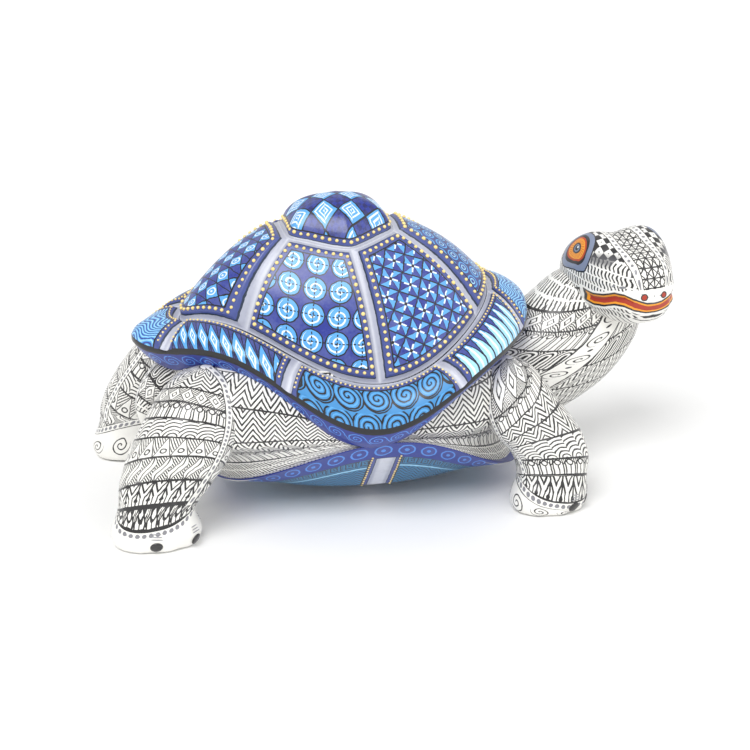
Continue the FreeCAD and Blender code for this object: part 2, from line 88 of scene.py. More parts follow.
class PaintColours(bpy.types.PropertyGroup):
    """The paints, as linear colours."""
    night: colour("Night blue", "Ground of the darkest blue parts", (0.008, 0.011, 0.12))
    black: colour("Black", "Line work", (0.006, 0.006, 0.009))
    sky: colour("Sky blue", "Light blue motifs", (0.10, 0.38, 0.78))
    white: colour("White", "White motifs on the shell", (0.80, 0.90, 0.97))
    royal: colour("Royal blue", "Ground of the side scutes", (0.011, 0.026, 0.27))
    turquoise: colour("Turquoise", "Ground of the middle border scutes", (0.05, 0.26, 0.58))
    ultramarine: colour("Ultramarine", "Ground of the rim bands", (0.006, 0.024, 0.27))
    line_blue: colour("Line blue", "Spirals and rings of the rim bands", (0.065, 0.25, 0.76))
    lilac: colour("Groove grey", "Channels between scutes", (0.44, 0.46, 0.56))
    violet: colour("Violet grey", "Worn violet haze over the blues", (0.06, 0.085, 0.29))
    teal: colour("Teal", "Ground of the underside", (0.03, 0.19, 0.38))
    slate: colour("Slate", "Dark lines of the underside", (0.02, 0.035, 0.07))
    ice: colour("Ice blue", "Palest blue", (0.36, 0.70, 0.93))
    body: colour("Warm white", "Ground of the body, legs and head", (0.86, 0.85, 0.81))
    ink: colour("Ink", "Line work of the body", (0.018, 0.017, 0.018))
    grey: colour("Grey", "Grey dots of the strips", (0.24, 0.24, 0.26))
    gold: colour("Gold", "Raised dots of the shell", (0.95, 0.66, 0.18))
    lip: colour("Lip red", "Middle of the mouth line", (0.42, 0.035, 0.012))
    amber: colour("Amber", "Outer part of the mouth and the iris", (0.86, 0.34, 0.02))
    eye_ring: colour("Eye ring", "Grey blue ring round the eye", (0.21, 0.25, 0.36))


class StageSizes(bpy.types.PropertyGroup):
    """Camera and light."""
    azimuth: bpy.props.FloatProperty(
        name="Azimuth", description="Turn of the camera about the turtle, in degrees", default=-12.0)
    elevation: bpy.props.FloatProperty(
        name="Elevation", description="Height of the camera's view, in degrees", default=22.0)
    distance: bpy.props.FloatProperty(
        name="Distance", description="From the camera to its target", default=0.9, unit="LENGTH")
    lens: bpy.props.FloatProperty(
        name="Lens", description="Focal length on a 36 mm frame", default=96.0)
    target: bpy.props.FloatVectorProperty(
        name="Target", description="Point in the middle of the view", default=(-0.00903, -0.015, 0.056))
    key_power: bpy.props.FloatProperty(
        name="Key power", description="Strength of the large soft key light", default=1.75)
    sky_strength: bpy.props.FloatProperty(
        name="Sky strength", description="Strength of the even white surround", default=0.70)


# ---------------------------------------------------------------- paint: fields of numbers


def feed(tree, slot, value):
    """Link a field or a socket into a slot, or set the slot to a number or a colour."""
    if isinstance(value, Field):
        tree.links.new(value.socket, slot)
    elif isinstance(value, bpy.types.NodeSocket):
        tree.links.new(value, slot)
    elif isinstance(value, (int, float)):
        slot.default_value = value
    else:
        slot.default_value = (*value, 1)


class Field:
    """A number that varies over a surface, worked out by the math nodes of one material."""

    def __init__(self, tree, socket):
        self.tree = tree
        self.socket = socket

    def by(self, operation, *others):
        """The result of one math node on this and the others."""
        node = self.tree.nodes.new("ShaderNodeMath")
        node.operation = operation
        for slot, value in zip(node.inputs, (self, *others)):
            feed(self.tree, slot, value)
        return Field(self.tree, node.outputs[0])

    def __add__(self, other):
        return self.by("ADD", other)

    def __sub__(self, other):
        return self.by("SUBTRACT", other)

    def __mul__(self, other):
        return self.by("MULTIPLY", other)

    def __truediv__(self, other):
        return self.by("DIVIDE", other)

    def size(self):
        return self.by("ABSOLUTE")

    def under(self, limit):
        return self.by("LESS_THAN", limit)

    def over(self, limit):
        return self.by("GREATER_THAN", limit)

    def fract(self):
        return self.by("FRACT")

    def floor(self):
        return self.by("FLOOR")

    def sine(self):
        return self.by("SINE")

    def near(self, value, reach):
        """1 where this is within reach of value."""
        return self.by("COMPARE", value, reach)

    def wrapped(self, pitch):
        """The same number folded into one cell, from minus half a pitch to half a pitch."""
        return self.by("WRAP", -pitch / 2, pitch / 2)

    def either(self, other):
        return self.by("MAXIMUM", other)

    def both(self, other):
        return self.by("MULTIPLY", other)

    def kept(self, low, high):
        """The same number, kept between two limits."""
        return self.by("MAXIMUM", low).by("MINIMUM", high)

    def on(self, place, half):
        """1 along a line at a place, half being half the line's width."""
        return (self - place).size().under(half)

    def inverse(self):
        """0 for 1 and 1 for 0."""
        return self.by("MULTIPLY_ADD", -1.0, 1.0)

    def blend(self, low, high):
        """low where this is 0, high where it is 1."""
        node = self.tree.nodes.new("ShaderNodeMix")
        node.data_type = "FLOAT"
        for name, value in (("Factor", self), ("A", low), ("B", high)):
            feed(self.tree, node.inputs[name], value)
        return Field(self.tree, node.outputs["Result"])


def radius(x, y):
    """Distance from the middle of a cell."""
    return (x * x + y * y).by("SQRT")


def spiral(x, y, pitch):
    """0 to 1 across each turn of a spiral about the middle of a cell."""
    return (radius(x, y) / pitch - y.by("ARCTAN2", x) / TURN).fract()


class Paint:
    """One painted material being put together."""

    def __init__(self, name):
        self.material = bpy.data.materials.new(name)
        self.material.use_nodes = True
        self.tree = self.material.node_tree
        self.tree.nodes.clear()

    def node(self, kind, **inputs):
        """A new node with some of its inputs set."""
        node = self.tree.nodes.new(kind)
        for key, value in inputs.items():
            node.inputs[key].default_value = value
        return node

    def attribute(self, name):
        """The three parts of a mesh attribute."""
        node = self.tree.nodes.new("ShaderNodeAttribute")
        node.attribute_name = name
        parts = self.tree.nodes.new("ShaderNodeSeparateXYZ")
        self.tree.links.new(node.outputs["Vector"], parts.inputs[0])
        return [Field(self.tree, output) for output in parts.outputs]

    def noise(self, scale, detail=2.0, roughness=0.5):
        """Cloudy noise in the object's own space, about 0.5."""
        place = self.tree.nodes.new("ShaderNodeTexCoord")
        node = self.node("ShaderNodeTexNoise", Scale=scale, Detail=detail, Roughness=roughness)
        self.tree.links.new(place.outputs["Object"], node.inputs["Vector"])
        return Field(self.tree, node.outputs["Fac"])

    def number(self, value):
        """A field of one number."""
        node = self.tree.nodes.new("ShaderNodeValue")
        node.outputs[0].default_value = value
        return Field(self.tree, node.outputs[0])

    def palette(self, code, colours):
        """One flat colour for each whole number of code."""
        ramp = self.tree.nodes.new("ShaderNodeValToRGB")
        ramp.color_ramp.interpolation = "CONSTANT"
        count = len(colours)
        self.tree.links.new(((code + 0.5) / count).socket, ramp.inputs[0])
        stops = ramp.color_ramp.elements
        while len(stops) < count:
            stops.new(0.5)
        for index, value in enumerate(colours):
            stops[index].position = index / count
        for index, value in enumerate(colours):
            stops[index].color = (*value, 1)
        return ramp.outputs["Color"]

    def mixed(self, factor, first, second, kind="MIX"):
        """Two colours mixed by a field, a number or a socket."""
        node = self.tree.nodes.new("ShaderNodeMix")
        node.data_type = "RGBA"
        node.blend_type = kind
        slots = [s for s in node.inputs if s.type == "RGBA"]
        for slot, value in zip((node.inputs["Factor"], *slots), (factor, first, second)):
            feed(self.tree, slot, value)
        return [s for s in node.outputs if s.type == "RGBA"][0]

    def finish(self, paint_colour, height, roughness, coat=0.35, bump_mm=0.12, metallic=0.0):
        """Satin varnish over the paint, with the brushwork as a low bump."""
        shader = self.node("ShaderNodeBsdfPrincipled")
        values = {"Base Color": paint_colour, "Roughness": roughness, "Metallic": metallic,
                  "Specular IOR Level": 0.45, "Coat Weight": coat, "Coat Roughness": 0.16}
        for name, value in values.items():
            feed(self.tree, shader.inputs[name], value)
        if height is not None:
            bump = self.node("ShaderNodeBump", Distance=bump_mm * MM, Strength=0.6)
            self.tree.links.new(height.socket, bump.inputs["Height"])
            self.tree.links.new(bump.outputs[0], shader.inputs["Normal"])
        output = self.tree.nodes.new("ShaderNodeOutputMaterial")
        self.tree.links.new(shader.outputs[0], output.inputs["Surface"])
        return self.material


# ---------------------------------------------------------------- paint: the shell's motifs

# The paints of the shell's palette, and the place of each in it.
SHELL_PAINTS = ("night", "black", "sky", "white", "royal", "turquoise", "ultramarine",
                "line_blue", "lilac", "violet", "teal", "slate", "ice")
(NIGHT, BLACK, SKY, WHITE, ROYAL, TURQUOISE, ULTRAMARINE,
 LINE_BLUE, LILAC, VIOLET, TEAL, SLATE, ICE) = range(len(SHELL_PAINTS))


# Lengths, in mm, of the motifs that run whole round a rim.
SPIRAL_PITCH = 9.6
RING_PITCH = 11.0
DIAGONAL = 0.7071


def discs(x, y):
    """Sky blue discs with white spirals, on a royal ground with dashed cross lines."""
    pitch = 11.3
    a, b = x.wrapped(pitch), (y + 2).wrapped(pitch)
    r = radius(a, b)
    code = r.under(5.0).blend(ROYAL, SKY)
    code = spiral(a, b, 2.5).under(0.30).both(r.under(4.2)).blend(code, WHITE)
    dashes = (x / 1.7).fract().under(0.6).both(b.size().under(0.28))
    dashes = dashes.either((y / 1.7).fract().under(0.6).both(a.size().under(0.28)))
    code = dashes.both(r.under(6.0)).blend(code, BLACK)
    return r.near(5.1, 0.3).blend(code, BLACK)


def pinwheels(x, y):
    """A slanting lattice of light and dark triangles, with white sparkles where they meet."""
    pitch = 9.0
    a, b = ((x + y) * DIAGONAL).wrapped(pitch), ((x - y) * DIAGONAL).wrapped(pitch)
    blade = (a.size() - b.size()).over(0)
    swing = (a * b).over(0)
    light = (blade - swing).size()
    code = light.blend(ROYAL, SKY)
    seams = a.size().under(0.28).either(b.size().under(0.28))
    code = seams.either(a.size().on(b.size(), 0.3)).blend(code, NIGHT)
    edge = a.size().on(pitch / 2, 0.3).either(b.size().on(pitch / 2, 0.3))
    code = edge.blend(code, BLACK)
    r = radius(a, b)
    rays = (a.size().under(0.36)).either(b.size().under(0.36)).both(r.under(3.0))
    code = rays.blend(code, WHITE)
    return r.under(0.75).blend(code, BLACK)


def rhombs(x, y):
    """Slanting cells, every other one light with a white oval in it."""
    pitch = 6.2
    a, b = (x * 0.85 + y * 0.55), (y * 0.85 - x * 0.5)
    column, row = (a / pitch).floor(), (b / pitch).floor()
    odd = ((column + row) / 2).fract().over(0.25)
    code = odd.blend(ROYAL, SKY)
    p, q = a.by("WRAP", 0, pitch) - pitch / 2, b.by("WRAP", 0, pitch) - pitch / 2
    r = radius(p * 1.25, q * 0.9)
    code = odd.both(r.near(1.9, 0.32).either(r.under(0.6))).blend(code, WHITE)
    lines = p.size().on(pitch / 2, 0.28).either(q.size().on(pitch / 2, 0.28))
    slash = odd.inverse().both((p + q).size().under(0.3))
    return lines.either(slash).blend(code, BLACK)


def loops(x, y):
    """Light rings laid in half-dropped rows over night blue."""
    row = (y / 6.5).floor()
    a = (x + row * 3.6).wrapped(7.2)
    b = y.by("WRAP", 0, 6.5) - 3.25
    r = radius(a, b)
    code = r.under(3.1).blend(NIGHT, ROYAL)
    code = r.near(2.7, 0.38).blend(code, SKY)
    return r.near(1.2, 0.3).blend(code, ICE)


def crown_checks(x, y):
    """Light diamonds with square spirals, between diamonds of small checks."""
    pitch = 8.4
    a, b = (x * 0.80 + y * 0.60), (y * 0.80 - x * 0.60)
    odd = (((a / pitch).floor() + (b / pitch).floor()) / 2).fract().over(0.25)
    p, q = a.by("WRAP", 0, pitch) - pitch / 2, b.by("WRAP", 0, pitch) - pitch / 2
    reach = p.size().either(q.size())
    checks = ((a / 2.1).floor() + (b / 2.1).floor()) / 2
    code = checks.fract().over(0.25).blend(NIGHT, ROYAL)
    square = (reach / 1.35 - (p - q).over(0) * 0.5).fract().under(0.42).both(reach.under(3.3))
    light = square.blend(SKY, WHITE)
    code = odd.blend(code, light)
    return reach.on(pitch / 2, 0.3).blend(code, BLACK)


def big_spirals(x, y):
    """Turquoise ground crowded with black spirals, large above and small below."""
    low = (y - 15.5).over(0)
    a = (x + low * 6.0).wrapped(12.0)
    b = y - low * 12.0 - 8.6
    r = radius(a, b)
    code = spiral(a, b, 2.25).under(0.30).both(r.under(6.3)).blend(TURQUOISE, BLACK)
    glow = spiral(a, b, 2.25).near(0.62, 0.13).both(r.under(5.6))
    code = glow.blend(code, SKY)
    return r.near(6.2, 0.32).blend(code, BLACK)


def flags(x, y):
    """Slanting light rhombs, each with a small white diamond."""
    a = (x - y * 0.75).wrapped(6.0)
    b = y - 12.2
    reach = (a.size() / 3.0) + (b.size() / 7.6)
    code = reach.under(1.0).blend(NIGHT, SKY)
    inner = (a.size() / 1.6) + (b.size() / 3.6)
    code = inner.near(0.85, 0.22).either(inner.under(0.2)).blend(code, WHITE)
    return reach.near(1.05, 0.08).either(a.size().on(3.0, 0.24)).blend(code, BLACK)


def petals(x, y):
    """Long feathers, white at the tip, pointing out to the rim."""
    a = (x - y * 0.18).wrapped(5.2)
    root = (y - 3.5) / 3.2
    width = root.by("MAXIMUM", 0.0).by("SQRT") * 1.35
    width = width.by("MINIMUM", 2.45)
    inside = (a.size() - width).under(0)
    tone = (y - 8.0).over(0).blend(SKY, ICE)
    tone = a.size().under(0.55).both((y - 5.5).over(0)).blend(tone, WHITE)
    code = inside.blend(ROYAL, tone)
    return a.size().on(width, 0.27).blend(code, BLACK)


def waves(x, y):
    """Fine contour lines over sky blue."""
    bend = (x * 0.55).sine() * 1.3 + (x * 0.21 + y * 0.3).sine() * 1.2
    lines = ((y + bend) / 1.75).fract()
    code = lines.under(0.30).blend(SKY, ROYAL)
    return lines.near(0.62, 0.14).blend(code, ICE)


def running_spirals(x, y):
    """A chain of light blue spirals along a rim band."""
    a, b = x.wrapped(SPIRAL_PITCH), y - 5.6
    r = radius(a * 0.85, b)
    ring = spiral(a * 0.85, b, 1.75).under(0.27).both(r.under(3.6))
    chain = (b + (x * (TURN / SPIRAL_PITCH)).sine() * 2.6).size().under(0.4).both(r.over(3.3))
    code = ring.either(chain.both(b.size().under(3.4))).blend(ULTRAMARINE, LINE_BLUE)
    return y.under(1.1).blend(code, BLACK)


def rim_circles(x, y):
    """Rings with a dot, along the rim of the belly plate."""
    a, b = x.wrapped(RING_PITCH), y - 6.2
    r = radius(a, b)
    code = r.near(3.7, 0.45).either(r.under(1.1)).blend(ULTRAMARINE, LINE_BLUE)
    code = r.under(3.0).both(r.over(1.2)).blend(code, ROYAL)
    return y.over(12.4).blend(code, SLATE)


def frets(x, y):
    """A stepped fret in dark lines on teal, under a pale line."""
    a, b = x.wrapped(7.6), (y - 15.2)
    reach = a.size().either(b.size())
    turn = (a - b).over(0)
    key = (reach / 1.75 + turn * 0.5).fract().under(0.40).both(b.size().under(3.9))
    code = key.blend(TEAL, SLATE)
    code = y.on(20.2, 0.55).blend(code, ICE)
    zigzag = (a.size() * 0.9 + y).by("WRAP", 0, 2.4).under(0.75).both(y.over(21.5))
    code = zigzag.blend(code, SLATE)
    return y.on(11.1, 0.45).blend(code, SLATE)


def rim_line(x, y):
    """A plain black line."""
    return x * 0 + BLACK


SHELL_MOTIFS = [discs, pinwheels, rhombs, loops, crown_checks, big_spirals, flags, petals,
                waves, running_spirals, rim_circles, frets, rim_line]
MOTIF = {motif.__name__: index for index, motif in enumerate(SHELL_MOTIFS)}


def shell_paint(paints):
    """Blue paint of the shell and the belly plate: the motif, then the borders and the channels, with a
    painted highlight along the middle of each channel.
    """
    paint = Paint("shell_paint")
    x, y, edge = paint.attribute("cell")
    kind, strip, plain = paint.attribute("kind")
    wobble = paint.noise(420.0, 1.0) - 0.5
    x, y = x + wobble * 0.7, y + wobble * 0.7
    code = paint.number(NIGHT)
    for index, motif in enumerate(SHELL_MOTIFS):
        code = kind.near(index, 0.5).blend(code, motif(x, y))
    edge = edge + wobble * 0.35
    for border, tone in ((strip + 0.6, BLACK), (strip, VIOLET), (2.45, SLATE), (2.05, LILAC)):
        code = (edge - border).under(0).blend(code, tone)
    flat = paint.palette(code, [tuple(getattr(paints, name)) for name in SHELL_PAINTS])
    clouds = paint.noise(95.0, 4.0, 0.62)
    scratches = paint.noise(900.0, 3.0, 0.7)
    is_blue = code.near(ROYAL, 0.4).either(code.near(NIGHT, 0.4))
    near_edge = ((edge * -1.0 + 15.0) * 0.045).kept(0.0, 0.5)
    haze = ((clouds - 0.42) * 2.6 + near_edge + (scratches - 0.5) * 1.4)
    haze = haze.kept(0.0, 0.85).both(is_blue) * plain
    hazed = paint.mixed(haze, flat, (0.075, 0.10, 0.34))
    # Painted highlight: the middle of each channel is lightened towards pale grey white, standing in for
    # light caught along the groove.
    painted_groove_highlight = (edge * -1.0 + 1.0).by("MAXIMUM", 0.0) * 0.55
    hazed = paint.mixed(painted_groove_highlight, hazed, (0.80, 0.82, 0.88))
    brush = paint.noise(260.0, 3.0, 0.6)
    dark = (brush * 0.42 + 0.79).by("MINIMUM", 1.0)
    shade = paint.node("ShaderNodeCombineColor")
    for slot in shade.inputs:
        feed(paint.tree, slot, dark)
    final = paint.mixed(1.0, hazed, shade.outputs[0], "MULTIPLY")
    ridge = code.near(BLACK, 0.4).inverse() * 0.5 + code.near(WHITE, 0.4) * 0.5 + brush * 0.6
    rough = brush * 0.22 + 0.24
    return paint.finish(final, ridge, rough)


def gold_paint(paints):
    """Thick gold paint with a soft sheen."""
    paint = Paint("gold_dot_paint")
    clouds = paint.noise(700.0, 2.0)
    tone = paint.mixed(clouds, tuple(paints.gold), (1.0, 0.86, 0.42))
    return paint.finish(tone, clouds, clouds * 0.2 + 0.25, coat=0.2, bump_mm=0.05, metallic=0.15)


def wood_paint():
    """Bare pale wood of the dowels, with its grain along the object."""
    paint = Paint("dowel_wood")
    grain = paint.noise(60.0, 5.0, 0.7)
    rings = paint.noise(15.0, 2.0)
    tone = paint.mixed((grain + rings) * 0.5, (0.42, 0.27, 0.14), (0.72, 0.55, 0.34))
    return paint.finish(tone, grain, grain * 0.2 + 0.55, coat=0.0)


# ---------------------------------------------------------------- meshes


# In the body's own frame, in mm: the floor's height and the middle of the shell's edge line.
FLOOR = 4.0
EDGE_MIDDLE = 1.5


def placed(points):
    """Points of the body's frame, in mm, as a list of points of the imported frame, in metres."""
    low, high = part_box("carapace")
    place = np.array(points, float)
    place[:, 0] += (low[0] + high[0]) / 2 / MM - EDGE_MIDDLE
    place[:, 2] -= FLOOR
    return (place * MM).tolist()


def added(name, data):
    """A new object of some data, in the scene."""
    item = bpy.data.objects.new(name, data)
    bpy.context.scene.collection.objects.link(item)
    return item


def new_piece(name, points, faces, material, node, point_data=None, corner_data=None,
              face_data=None):
    """A smooth mesh object from points in mm in the body's frame, with its attributes."""
    mesh = bpy.data.meshes.new(name)
    mesh.from_pydata(placed(points), [], [list(map(int, face)) for face in faces])
    for domain, data in (("POINT", point_data), ("CORNER", corner_data), ("FACE", face_data)):
        for key, values in (data or {}).items():
            layer = mesh.attributes.new(key, "FLOAT_VECTOR", domain)
            layer.data.foreach_set("vector", np.asarray(values, np.float32).ravel())
    mesh.polygons.foreach_set("use_smooth", np.ones(len(mesh.polygons), bool))
    mesh.update()
    mesh.materials.append(material)
    piece = added(name, mesh)
    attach(piece, "root")
    if node:
        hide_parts(*node)
    return piece


def outward(points, quads):
    """True if the faces of a closed mesh point outwards."""
    a, b, c, d = (points[quads[:, i]] for i in range(4))
    volume = np.einsum("ij,ij->i", a, np.cross(b, c)) + np.einsum("ij,ij->i", a, np.cross(c, d))
    return volume.sum() > 0


def ring_quads(rows, columns, torus):
    """Faces of a grid whose rows are closed rings; a torus joins its last row to its first."""
    row = np.arange(rows if torus else rows - 1)[:, None]
    column = np.arange(columns)[None, :]
    above, beside = (row + 1) % rows, (column + 1) % columns
    corners = (row * columns + column, row * columns + beside,
               above * columns + beside, above * columns + column)
    return np.stack([np.broadcast_to(c, (len(row), columns)) for c in corners], -1).reshape(-1, 4)


def capped_rings(points, low, high, kind, torus=False):
    """Vertices, faces and attributes of a stack of rings, closed at both ends by a fan.

    low and high hold the cell numbers at the lower and upper side of each row of faces,
    with one column more than the rings, and kind holds one triple for each face.
    """
    rows, columns = points.shape[:2]
    quads = ring_quads(rows, columns, torus)
    flat = points.reshape(-1, 3)
    flip = not outward(flat, quads)
    corner = np.stack([low[:, :-1], low[:, 1:], high[:, 1:], high[:, :-1]], 2).reshape(-1, 4, 3)
    order = [3, 2, 1, 0] if flip else [0, 1, 2, 3]
    quads, corner = quads[:, order], corner[:, order]
    faces = [tuple(face) for face in quads]
    corner, kinds = list(corner.reshape(-1, 3)), list(kind.reshape(-1, 3))
    if not torus:
        extra = []
        for row, base, top in ((0, 0, True), (rows - 1, (rows - 1) * columns, False)):
            centre = len(flat) + len(extra)
            extra.append(points[row].mean(axis=0))
            cell = low[0] if row == 0 else high[-1]
            for column in range(columns):
                beside = (column + 1) % columns
                face = [centre, base + beside, base + column]
                values = [cell[column], cell[column + 1], cell[column]]
                if flip == top:
                    face, values = face[::-1], values[::-1]
                faces.append(tuple(face))
                corner.extend(values)
                kinds.append(kind[0 if row == 0 else -1, column])
        flat = np.vstack([flat, extra])
    return flat, faces, np.array(corner), np.array(kinds)


# ---------------------------------------------------------------- shell: lines and surfaces

# Seams of the right side in degrees from the head, and corners of the top scute.
RING_SEAMS = (-129.2, -81.1, -32.7)
DOME_CORNERS = ((-25.0, -13.0), (2.0, -25.0), (24.0, -12.0))
BORDER_SEAMS_IN = (-159.4, -109.2, -60.0, -12.9)
BORDER_SEAMS_OUT = (-148.7, -109.0, -58.5, -25.4)
# The narrowing towards the tail, the lines' heights as cosine parts, and the rim band's sizes.
TAIL_TAPER = 0.56
DOME_MIDDLE = 5.0
EDGE_WAVE = (76.0, -0.7, 11.9, 4.8, -5.5, -1.2, 2.6)
RING_WAVE = (85.7, -0.3, 10.5, 4.6, -3.3)
RIM_THICK = 2.0
DOME_FOOT = 126.0
DOME_RISE = 15.5
SEAM_SPREAD = 1.04
BAND_INSET = 9.0
BAND_DROP = 11.5


def wave(parts, turn):
    """A height that rises and falls round the shell."""
    return sum(part * np.cos(k * turn) for k, part in enumerate(parts))


def oval_line(turn, middle, half_length, half_width, heights):
    """A saddle-shaped line of the shell, narrowed towards the tail."""
    narrowed = 1 - TAIL_TAPER * ((1 - np.cos(turn)) / 2) ** 2
    x = middle + half_length * np.cos(turn)
    y = half_width * np.sin(turn) * narrowed
    return np.stack([x, y, wave(heights, turn)], -1)


def edge_line(turn, inset=0.0, drop=0.0):
    """The outer edge of the shell, or a line inside and below it."""
    line = oval_line(turn, EDGE_MIDDLE, 89.5 - inset, 73.85 - inset, EDGE_WAVE)
    line[..., 2] -= drop
    return line


def ring_line(turn):
    """The groove between the side scutes and the border scutes."""
    return oval_line(turn, 3.0, 70.0, 58.0, RING_WAVE)


def dome_radius(angle):
    """Radius of the six-sided top scute's border, with softened corners."""
    fine = np.linspace(-math.pi, math.pi, 721)
    right = np.array(DOME_CORNERS)
    corners = np.vstack([right, (right * (1, -1))[::-1]])
    reach = np.full(fine.shape, 1e9)
    direction = np.stack([np.cos(fine), np.sin(fine)], -1)
    for start, end in zip(corners, np.roll(corners, -1, axis=0)):
        side = end - start
        cross = direction[:, 0] * side[1] - direction[:, 1] * side[0]
        hit = (start[0] * side[1] - start[1] * side[0]) / np.where(np.abs(cross) < 1e-9, 1e-9, cross)
        reach = np.where((hit > 0) & (hit < reach), hit, reach)
    window = np.hanning(41)
    window /= window.sum()
    padded = np.concatenate([reach[-41:-1], reach, reach[1:41]])
    soft = np.convolve(padded, window, "same")[40:-40]
    return np.interp((angle + math.pi) % TURN - math.pi, fine, soft)


def dome_line(angle, share=1.0):
    """The border of the top scute, or a line inside it."""
    reach = dome_radius(angle) * share
    z = DOME_FOOT + 2 * np.cos(2 * angle) + 0 * reach
    return np.stack([DOME_MIDDLE + reach * np.cos(angle), reach * np.sin(angle), z], -1)


def both_sides(angles):
    """The seams of both sides, in radians, once round from the tail."""
    right = [math.radians(a) for a in angles]
    return np.array(right + [-a for a in right[::-1]])


class Zone:
    """A ring of scutes between two lines, parted by seams that run from one to the other."""

    def __init__(self, inner, outer, inner_seams, outer_seams, swell, outer_is_groove):
        self.inner, self.outer = inner, outer
        self.inner_seams = np.append(inner_seams, inner_seams[0] + TURN)
        self.outer_seams = np.append(outer_seams, outer_seams[0] + TURN)
        self.count = len(inner_seams)
        self.swell = swell
        self.outer_is_groove = outer_is_groove

    def base(self, share, place):
        """Point before carving; place runs 0 to count, a whole number at each seam."""
        steps = np.arange(self.count + 1)
        head = self.inner(np.interp(place, steps, self.inner_seams))
        foot = self.outer(np.interp(place, steps, self.outer_seams))
        share = share[..., None]
        middle = head * (1 - share) + foot * share
        slope = head - foot
        level = np.linalg.norm(slope[..., :2], axis=-1, keepdims=True)
        up = np.concatenate([-slope[..., :2] * slope[..., 2:] / level, level], -1)
        up /= np.linalg.norm(up, axis=-1, keepdims=True)
        return middle + up * self.swell * np.sin(math.pi * share), up, np.linalg.norm(slope, axis=-1)

    def carved(self, share, place, sizes):
        """Points with scutes and channels, the cell coordinates in mm and the scute numbers."""
        share, place = np.broadcast_arrays(np.asarray(share, float), np.asarray(place, float))
        point, up, length = self.base(share, place)
        number = np.clip(np.floor(place), 0, self.count - 1)
        start, _, _ = self.base(share, number)
        end, _, _ = self.base(share, number + 1)
        width = np.linalg.norm(end - start, axis=-1) * SEAM_SPREAD
        inside = place - number
        sides = np.minimum(inside, 1 - inside) * width
        distance = np.minimum(sides, share * length)
        if self.outer_is_groove:
            distance = np.minimum(distance, (1 - share) * length)
            rounding = 1.0
        else:
            rounding = 1 - np.clip(share * 6 - 5, 0, 1) ** 2
        half = sizes.groove_half
        channel = -sizes.groove_depth * np.clip(1 - (distance / half) ** 2, 0, 1)
        step = np.clip((distance - half * 0.9) / 1.5, 0, 1)
        step = sizes.scute_step * step * step * (3 - 2 * step) * rounding
        cell = np.stack([(inside - 0.5) * width, share * length, distance], -1)
        return point + up * (channel + step)[..., None], cell, number.astype(int)


def costals(sizes):
    """The zone of the six large side scutes."""
    inner = np.array([math.atan2(y, x) for x, y in DOME_CORNERS])
    inner = np.append(inner, -inner[::-1])
    return Zone(dome_line, ring_line, inner, both_sides(RING_SEAMS), sizes.scute_swell, True)


def borders(sizes):
    """The zone of the eight border scutes, which bulge half as far."""
    return Zone(ring_line, edge_line, both_sides(BORDER_SEAMS_IN), both_sides(BORDER_SEAMS_OUT),
                sizes.scute_swell / 2, False)


def eased(count, crowding):
    """Shares from 0 to 1, crowded at both ends."""
    even = np.linspace(0, 1, count)
    return crowding * (0.5 - 0.5 * np.cos(math.pi * even)) + (1 - crowding) * even


def scute_places(count, per_scute, crowding):
    """Places once round the shell, crowded at every seam."""
    steps = eased(per_scute + 1, crowding)[:-1]
    return np.concatenate([number + steps for number in range(count)])


def scute_ring(name, rings, cells, kind, strip, material):
    """A piece of rings joined last to first, with the motif of each face and one strip width."""
    quads = ring_quads(len(rings), rings.shape[1], True)
    if not outward(rings.reshape(-1, 3), quads):
        quads = quads[:, ::-1]
    kinds = np.stack([kind, kind * 0 + strip, kind * 0 + 1], -1)
    return new_piece(name, rings.reshape(-1, 3), quads, material, ["carapace"],
                     point_data={"cell": cells.reshape(-1, 3)}, face_data={"kind": kinds.reshape(-1, 3)})


SCUTE_THICK = 3.0
COSTAL_MOTIFS = ("discs", "pinwheels", "loops", "pinwheels", "discs", "rhombs")
BORDER_MOTIFS = ("flags", "big_spirals", "petals", "waves", "petals", "big_spirals", "flags", "waves")


def make_costals(sizes, material):
    """The six large scutes round the top one, in one ring closed underneath."""
    zone = costals(sizes)
    place = scute_places(zone.count, 118, 0.45)
    share = eased(72, 0.5)
    points, cell, number = zone.carved(share[:, None], place[None, :], sizes)
    under, up, _ = zone.base(*np.broadcast_arrays(share[::-6, None], place[None, :]))
    rings = np.concatenate([points, under - up * SCUTE_THICK])
    cells = np.concatenate([cell, np.zeros(under.shape)])
    motif = np.array([MOTIF[name] for name in COSTAL_MOTIFS])[number[0]]
    kind = np.broadcast_to(motif, (len(rings), len(place))).astype(float)
    return scute_ring("carapace_side_scutes", rings, cells, kind, 5.5, material)


def crown_surface(angle, inset, sizes):
    """Points of the top scute, inset mm inside its border, and the distance over the surface."""
    reach = dome_radius(angle)
    share = 1 - inset / np.maximum(reach, 25.6)
    inner = np.clip(share / (1 - sizes.groove_half / 26.0), 0, 1)
    rise = DOME_RISE * (0.03 + 0.97 * (1 - inner ** 2.2) ** 0.62)
    channel = -sizes.groove_depth * (1 - (inset / sizes.groove_half) ** 2)
    rise = np.where(inset < sizes.groove_half, channel, rise)
    points = dome_line(angle, share)
    points[..., 2] += rise - 2 * np.cos(2 * angle) * np.clip(1 - inner ** 2, 0, 1)
    steps = np.linalg.norm(np.diff(points, axis=0, prepend=points[:1]), axis=-1)
    return points, np.cumsum(steps, axis=0)


